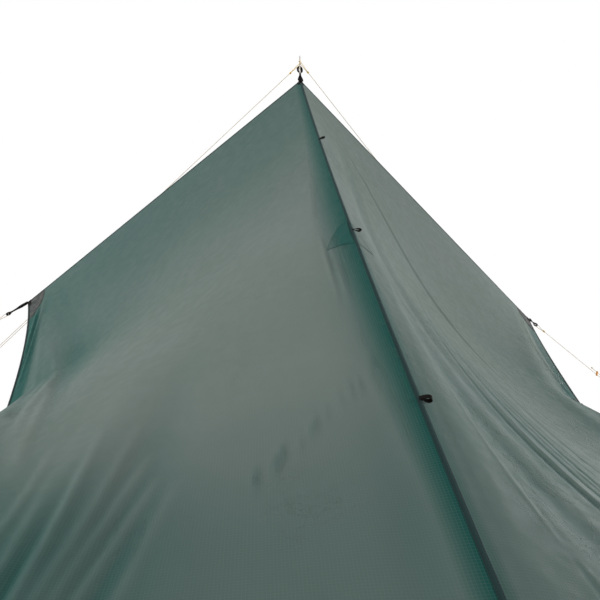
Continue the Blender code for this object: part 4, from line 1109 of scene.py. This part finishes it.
def edge_loops():
    for half in HALVES:
        for k in (1, 2):
            tie = sided(TIES[half][k], half)
            along = sided(TIES[half][k + 1] - TIES[half][k - 1], half)
            outward = tie - sided(ridge(k / 3), half)
            outward = outward - along * (outward @ along) / (along @ along)
            flat_loop(f"side_web_{half}_{k}", tie + unit(outward) * EDGE_OUT, outward, along, 1.0,
                      f"side_loop_{half}_{k}")
        ground = sided((CORNER[0], CORNER[1], WEB_WIDTH / 2), half)
        outward = sided((0.72, -0.69, 0.0), half)
        flat_loop(f"front_corner_web_{half}", ground + unit(outward) * EDGE_OUT, outward,
                  np.array([-outward[1], outward[0], 0.0]), PEG_SHARE, f"front_corner_loop_{half}")
    flat_loop("front_centre_web", np.array([0.0, FRONT[1] - EDGE_OUT, WEB_WIDTH / 2]), np.array([0.0, -1.0, 0.0]),
              X_DIR, PEG_SHARE, "front_centre_loop")


def twisted_strap(name, points, level, turns, thick):
    """Doubled strap: per point a width, and a turn about its own line in degrees."""
    path = smooth_path(points)
    at, share = np.linspace(0, 1, len(points)), np.linspace(0, 1, len(path))
    wide, angle = (np.interp(share, at, column) for column in zip(*turns))
    angle = np.radians(angle)[:, None]
    t = tangents(path)
    first = unit(level - t * dot(level, t))
    return web(name, path, first * np.cos(angle) + np.cross(t, first) * np.sin(angle), wide, thick)


def joined(name, *parts):
    """Several closed skins as one mesh."""
    verts, faces, run, count = [], [], [], 0
    for data in parts:
        for source, key, rows in ((data.vertices, "co", verts), (data.attributes["run"].data, "vector", run)):
            values = np.zeros(len(source) * 3, np.float32)
            source.foreach_get(key, values)
            rows.append(values.reshape(-1, 3))
        faces += [tuple(k + count for k in p.vertices) for p in data.polygons]
        count += len(data.vertices)
        bpy.data.meshes.remove(data)
    return mesh_of(name, np.concatenate(verts), faces, np.concatenate(run))


# Rear straps: (share of the way to the eye, width, turn in degrees)
STRAP_STATIONS = ((0.0, 0.0180, 0.0), (0.16, 0.0180, 4.0), (0.36, 0.0165, 14.0), (0.50, 0.0110, 52.0),
                  (0.72, 0.0085, 92.0), (1.0, 0.0080, 104.0))
STRAP_LEAST = {"left": 0.0080, "right": 0.0130}
STRAP_TWIST = {"left": 1.0, "right": 0.3}
STRAP_THICK = 0.0024
STRAP_EYE_SPAN = 0.0150
STRAP_IN = 0.004
# The strap runs on under its eye, which starts late and ends early by a little
STRAP_UNDER, EYE_LATE, EYE_EARLY = 0.003, 0.0006, 0.0012
# Its sewn end: length and width, distance from the corner and the edge, and heights
SEWN_LONG, SEWN_WIDE = 0.072, 0.018
SEWN_FROM, SEWN_IN = 0.001, 0.0016
SEWN_LOW, SEWN_RIM, SEWN_RISE = 0.0015, 0.0018, 0.0010


def rear_straps():
    """Strap from each rear corner, turned about its own line, that ends in an eye for the guyline."""
    for half in HALVES:
        d = unit(sided(CORNER_LINE, half))
        level = unit(np.cross(UP, d))
        base = sided(REAR, half)
        neck = STRAP_LENGTHS[half] - STRAP_EYE + STRAP_UNDER
        points = [base + d * (share * (neck + STRAP_IN) - STRAP_IN) for share, _, _ in STRAP_STATIONS]
        turns = [(max(w, STRAP_LEAST[half]), t * STRAP_TWIST[half]) for _, w, t in STRAP_STATIONS]
        strap = twisted_strap(f"rear_strap_{half}", points, level, turns, STRAP_THICK)
        start = base + d * (STRAP_LENGTHS[half] - STRAP_EYE + EYE_LATE)
        path = oval(start, d, level, STRAP_LOOP, STRAP_EYE - EYE_EARLY, STRAP_EYE_SPAN)
        eye = web(f"rear_strap_{half}_eye", path, np.cross(d, level) * HALVES[half], WEB_WIDTH, WEB_THICK)
        link(joined(f"rear_strap_{half}", strap, eye), "webbing", f"rear_corner_loop_{half}")
        sewn_end(half)


def sewn_end(half):
    """The strap's end, sewn down the side hem on the corner patch."""
    along, across = np.meshgrid(np.linspace(0.0, 1.0, 12), np.linspace(-0.5, 0.5, 9), indexing="ij")
    from_corner = SEWN_FROM + along * SEWN_LONG
    u = from_corner / RIDGE_LENGTH
    v = 1 - (SEWN_IN + (across + 0.5) * SEWN_WIDE) / HALF_BACK
    edge = np.minimum(np.minimum(along, 1 - along) * 8, (0.5 - np.abs(across)) * 8)
    top = CLOTHS[half].at(u, v, SEWN_RIM + SEWN_RISE * np.clip(edge, 0.0, 1.0))
    low = CLOTHS[half].at(u, v, SEWN_LOW)
    link(sheet_mesh(f"strap_end_{half}", top, low, runs(from_corner, across * SEWN_WIDE)), "webbing")


PEAK_EYE_LOW = np.array([0.0, -0.0135, 2.134])
PEAK_EYE_HIGH = np.array([0.0, 0.0135, 2.187])
PEAK_EYE_SPAN = 0.0178
PEAK_EYE_WEB = 0.0100
PEAK_EYE_LEAN = math.radians(74.0)
PEAK_NECK_THICK = 0.0042
PEAK_WIDEST = 0.47
PEAK_FOOT = (0.0, -0.0010, 0.0020)
# The neck starts on the cap, so far down the ridge, and goes on to the eye: share, width, turn
PEAK_CAP_STARTS = (0.030, 0.012)
PEAK_CAP_UP = 0.0036
PEAK_CAP_WIDTHS = ((0.0180, 0.0), (0.0220, 0.0))
PEAK_NECK = ((0.0, 0.0240, 0.0), (0.22, 0.0215, 4.0), (0.45, 0.0165, 18.0), (0.70, 0.0130, 40.0),
             (0.90, 0.0120, 52.0), (1.05, 0.0135, 56.0))


def peak_eye():
    """The webbing over the peak: flared foot, twisted neck, and the eye that the pin stands in."""
    foot = PEAK + np.array(PEAK_FOOT)
    points = [PEAK + RIDGE_DIR * down + RIDGE_UP * PEAK_CAP_UP for down in PEAK_CAP_STARTS]
    points += [foot + (PEAK_EYE_LOW - foot) * t for t, _, _ in PEAK_NECK]
    turns = PEAK_CAP_WIDTHS + tuple((w, a) for _, w, a in PEAK_NECK)
    neck = twisted_strap("peak_neck", points, X_DIR, turns, PEAK_NECK_THICK)
    up = unit(PEAK_EYE_HIGH - PEAK_EYE_LOW)
    reach = np.linalg.norm(PEAK_EYE_HIGH - PEAK_EYE_LOW)
    path = oval(PEAK_EYE_LOW, up, X_DIR, PEAK_LOOP, reach, PEAK_EYE_SPAN)
    aside = (path - PEAK_EYE_LOW) @ X_DIR
    lean = (np.sign(aside) * PEAK_EYE_LEAN * ease(np.abs(aside) / (PEAK_WIDEST * PEAK_EYE_SPAN)))[:, None]
    eye = web("peak_eye_loop", path, np.cross(up, X_DIR) * np.cos(lean) - X_DIR * np.sin(lean), PEAK_EYE_WEB,
              WEB_THICK)
    link(joined("peak_web", neck, eye), "webbing", "peak_loop")


# Pole, as outlines of (radius, height)

def arc(cx, cz, r, start, end, steps=5):
    a = np.radians(np.linspace(start, end, steps))
    return [(cx + r * math.cos(t), cz + r * math.sin(t)) for t in a]


def tube_profile(bore, outer, z0, z1, edge=0.0003):
    return (arc(outer - edge, z0 + edge, edge, -90, 0) + arc(outer - edge, z1 - edge, edge, 0, 90)
            + arc(bore + edge, z1 - edge, edge, 90, 180) + arc(bore + edge, z0 + edge, edge, 180, 270))


def grooved(count, first, step, outer, inner, at):
    """Grooves round an outline, each with its four heights above its start."""
    radii = (outer, inner, inner, outer)
    return [(r, first + step * k + z) for k in range(count) for r, z in zip(radii, at)]


def turned(name, profile, finish, node, body="tarp", sharp=50, steps=64):
    link(lathe(name, profile, steps), finish, node, body, sharp)


def pole():
    foot = ([(0.0, 0.0), (0.0120, 0.0), (0.0128, 0.0006), (0.0150, 0.0006)] + arc(0.0158, 0.0012, 0.0012, -90, 0)
            + arc(0.0150, 0.0050, 0.0020, 0, 80) + [(0.0130, 0.0090), (0.0121, 0.0120)]
            + grooved(5, 0.0150, 0.0030, 0.0120, 0.0114, (0.0, 0.0005, 0.0010, 0.0015))
            + arc(0.0112, 0.0312, 0.0008, 0, 90) + arc(0.0102, 0.0316, 0.0004, 90, 180)
            + [(0.0098, 0.0080), (0.0, 0.0080)])
    ferrule = ([(0.0, 2.0603), (0.0083, 2.0603), (0.0083, 2.030), (0.0092, 2.030), (0.0096, 2.0306)]
               + grooved(4, 2.040, 0.005, 0.0095, 0.0090, (0.0, 0.0006, 0.0016, 0.0022)) + [(0.0093, 2.0600)]
               + arc(0.0060, 2.0995, 0.0012, 20, 0, 3) + arc(0.0055, 2.1150, 0.0004, 0, 60, 3)
               + [(0.0048, 2.1200)] + arc(0.0038, 2.1290, 0.0010, 0, 90)
               + [(0.0028, 2.1300), (0.0028, 2.0997), (0.0, 2.0997)])
    pin = ([(0.0, 2.100), (0.0022, 2.100), (0.0025, 2.1004), (0.0025, 2.2270)]
           + arc(0.0012, 2.2305, 0.0013, 40, 80) + [(0.0, 2.232)])
    turned("foot_cap", foot, "rubber", "pole_foot", "lower_pole", 35)
    turned("lower_tube", tube_profile(0.0085, 0.0095, 0.0083, 1.050), "aluminium", "pole_lower_tube", "lower_pole")
    turned("upper_tube", tube_profile(0.0072, 0.0080, 0.900, 2.060), "aluminium", "pole_upper_tube")
    turned("bush", tube_profile(0.0040, 0.0082, 0.880, 0.8997, 0.0006), "plastic", "pole_bush")
    turned("ferrule", ferrule, "plastic", "pole_ferrule", sharp=35)
    turned("tip_pin", pin, "steel", "pole_tip_pin", steps=32)


# The part's own pieces that are kept: finish, and width of their softened edges
KEPT = {"lock_collar": ("plastic", 0.0005), "lock_lever": ("plastic", 0.0006), "lock_screw": ("steel", 0.0002),
        "lock_nut": ("steel", 0.0002), "lock_hinge_pin": ("steel", 0.0002)}
RUNNERS = ("anodised", 0.0006)
SOFT_STEPS = 3
SOFT_FROM = math.radians(40)


def dress_nodes():
    """The part's own lock and runners, with softened edges and their finishes."""
    runners = {name: RUNNERS for name in frame["nodes"] if name.startswith("runner_")}
    for name, (finish, edge) in (KEPT | runners).items():
        obj = bpy.data.objects[name]
        if not obj.material_slots:
            obj.data.materials.append(FINISH[finish])
        for slot in obj.material_slots:
            slot.material = FINISH[finish]
        soft = obj.modifiers.new("soft_edges", "BEVEL")
        soft.width = edge
        soft.segments = SOFT_STEPS
        soft.limit_method = "ANGLE"
        soft.angle_limit = SOFT_FROM


# Surroundings

FLOOR_HALF = 9.0
FLOOR_FADE = (2.5, 8.0)
AMBIENT = 0.27
WHITE = (1, 1, 1, 1)
# Lamps: where they stand, size and power
LAMPS = {"key": ((-6.8, -2.2, 2.4), 3.0, 400), "fill": ((4.8, -5.6, 2.4), 3.0, 235),
         "side": ((6.0, 2.6, 2.4), 3.0, 190), "back": ((0.5, 6.5, 4.0), 4.0, 140)}
LAMP_AIM = (0.0, -0.8, 0.9)
LAMP_COLOUR = (1.0, 0.99, 0.97)


def background_rays(tree):
    """1 for the rays that show the background itself: camera, glossy and transmission."""
    rays = tree.nodes.new("ShaderNodeLightPath").outputs
    shown = rays["Is Camera Ray"]
    for name in ("Is Glossy Ray", "Is Transmission Ray"):
        shown = add_node(tree, "ShaderNodeMath", {0: shown, 1: rays[name]}, operation="MAXIMUM")
    return shown


def floor():
    data = bpy.data.meshes.new("floor")
    h = FLOOR_HALF
    data.from_pydata([(-h, -h, 0), (h, -h, 0), (h, h, 0), (-h, h, 0)], [], [(0, 1, 2, 3)])
    p = Paint("floor", 0.9, Specular_IOR_Level=0.1)
    place = p.place()
    p.set("Base Color", p.mix(p.noise(place, 40.0, 5.0, 0.6), (0.78, 0.78, 0.77), (0.84, 0.84, 0.83)))
    away = p.add("ShaderNodeVectorMath", {0: place}, out="Value", operation="LENGTH")
    white = p.add("ShaderNodeEmission", {"Color": WHITE, "Strength": 1.0})
    share = p.times(p.between(away, *FLOOR_FADE), background_rays(p.tree))
    both = p.add("ShaderNodeMixShader", {0: share, 1: p.shader.outputs[0], 2: white})
    p.tree.links.new(both, p.tree.nodes["Material Output"].inputs["Surface"])
    data.materials.append(p.material)
    in_scene("floor", data)


def world():
    made = bpy.data.worlds.new("world")
    bpy.context.scene.world = made
    made.use_nodes = True
    tree = made.node_tree
    lift = {"Value": background_rays(tree), "To Min": AMBIENT, "To Max": 1.0}
    background = tree.nodes["Background"].inputs
    feed(tree, background["Strength"], add_node(tree, "ShaderNodeMapRange", lift))
    feed(tree, background["Color"], WHITE)


def lights():
    for name, (at, size, power) in LAMPS.items():
        data = bpy.data.lights.new(name, "AREA")
        data.shape = "DISK"
        data.size = size
        data.energy = power
        data.color = LAMP_COLOUR
        obj = in_scene(name, data)
        obj.location = at
        obj.rotation_euler = (Vector(LAMP_AIM) - Vector(at)).to_track_quat("-Z", "Y").to_euler()


make_camera()
guylines()
pole()
dress_nodes()
hems()
panels()
seam()
corner_patches()
side_patches()
centre_patches()
ridge_loops()
edge_loops()
rear_straps()
peak_eye()
floor()
world()
lights()

scene = bpy.context.scene
scene.view_settings.view_transform = "Standard"
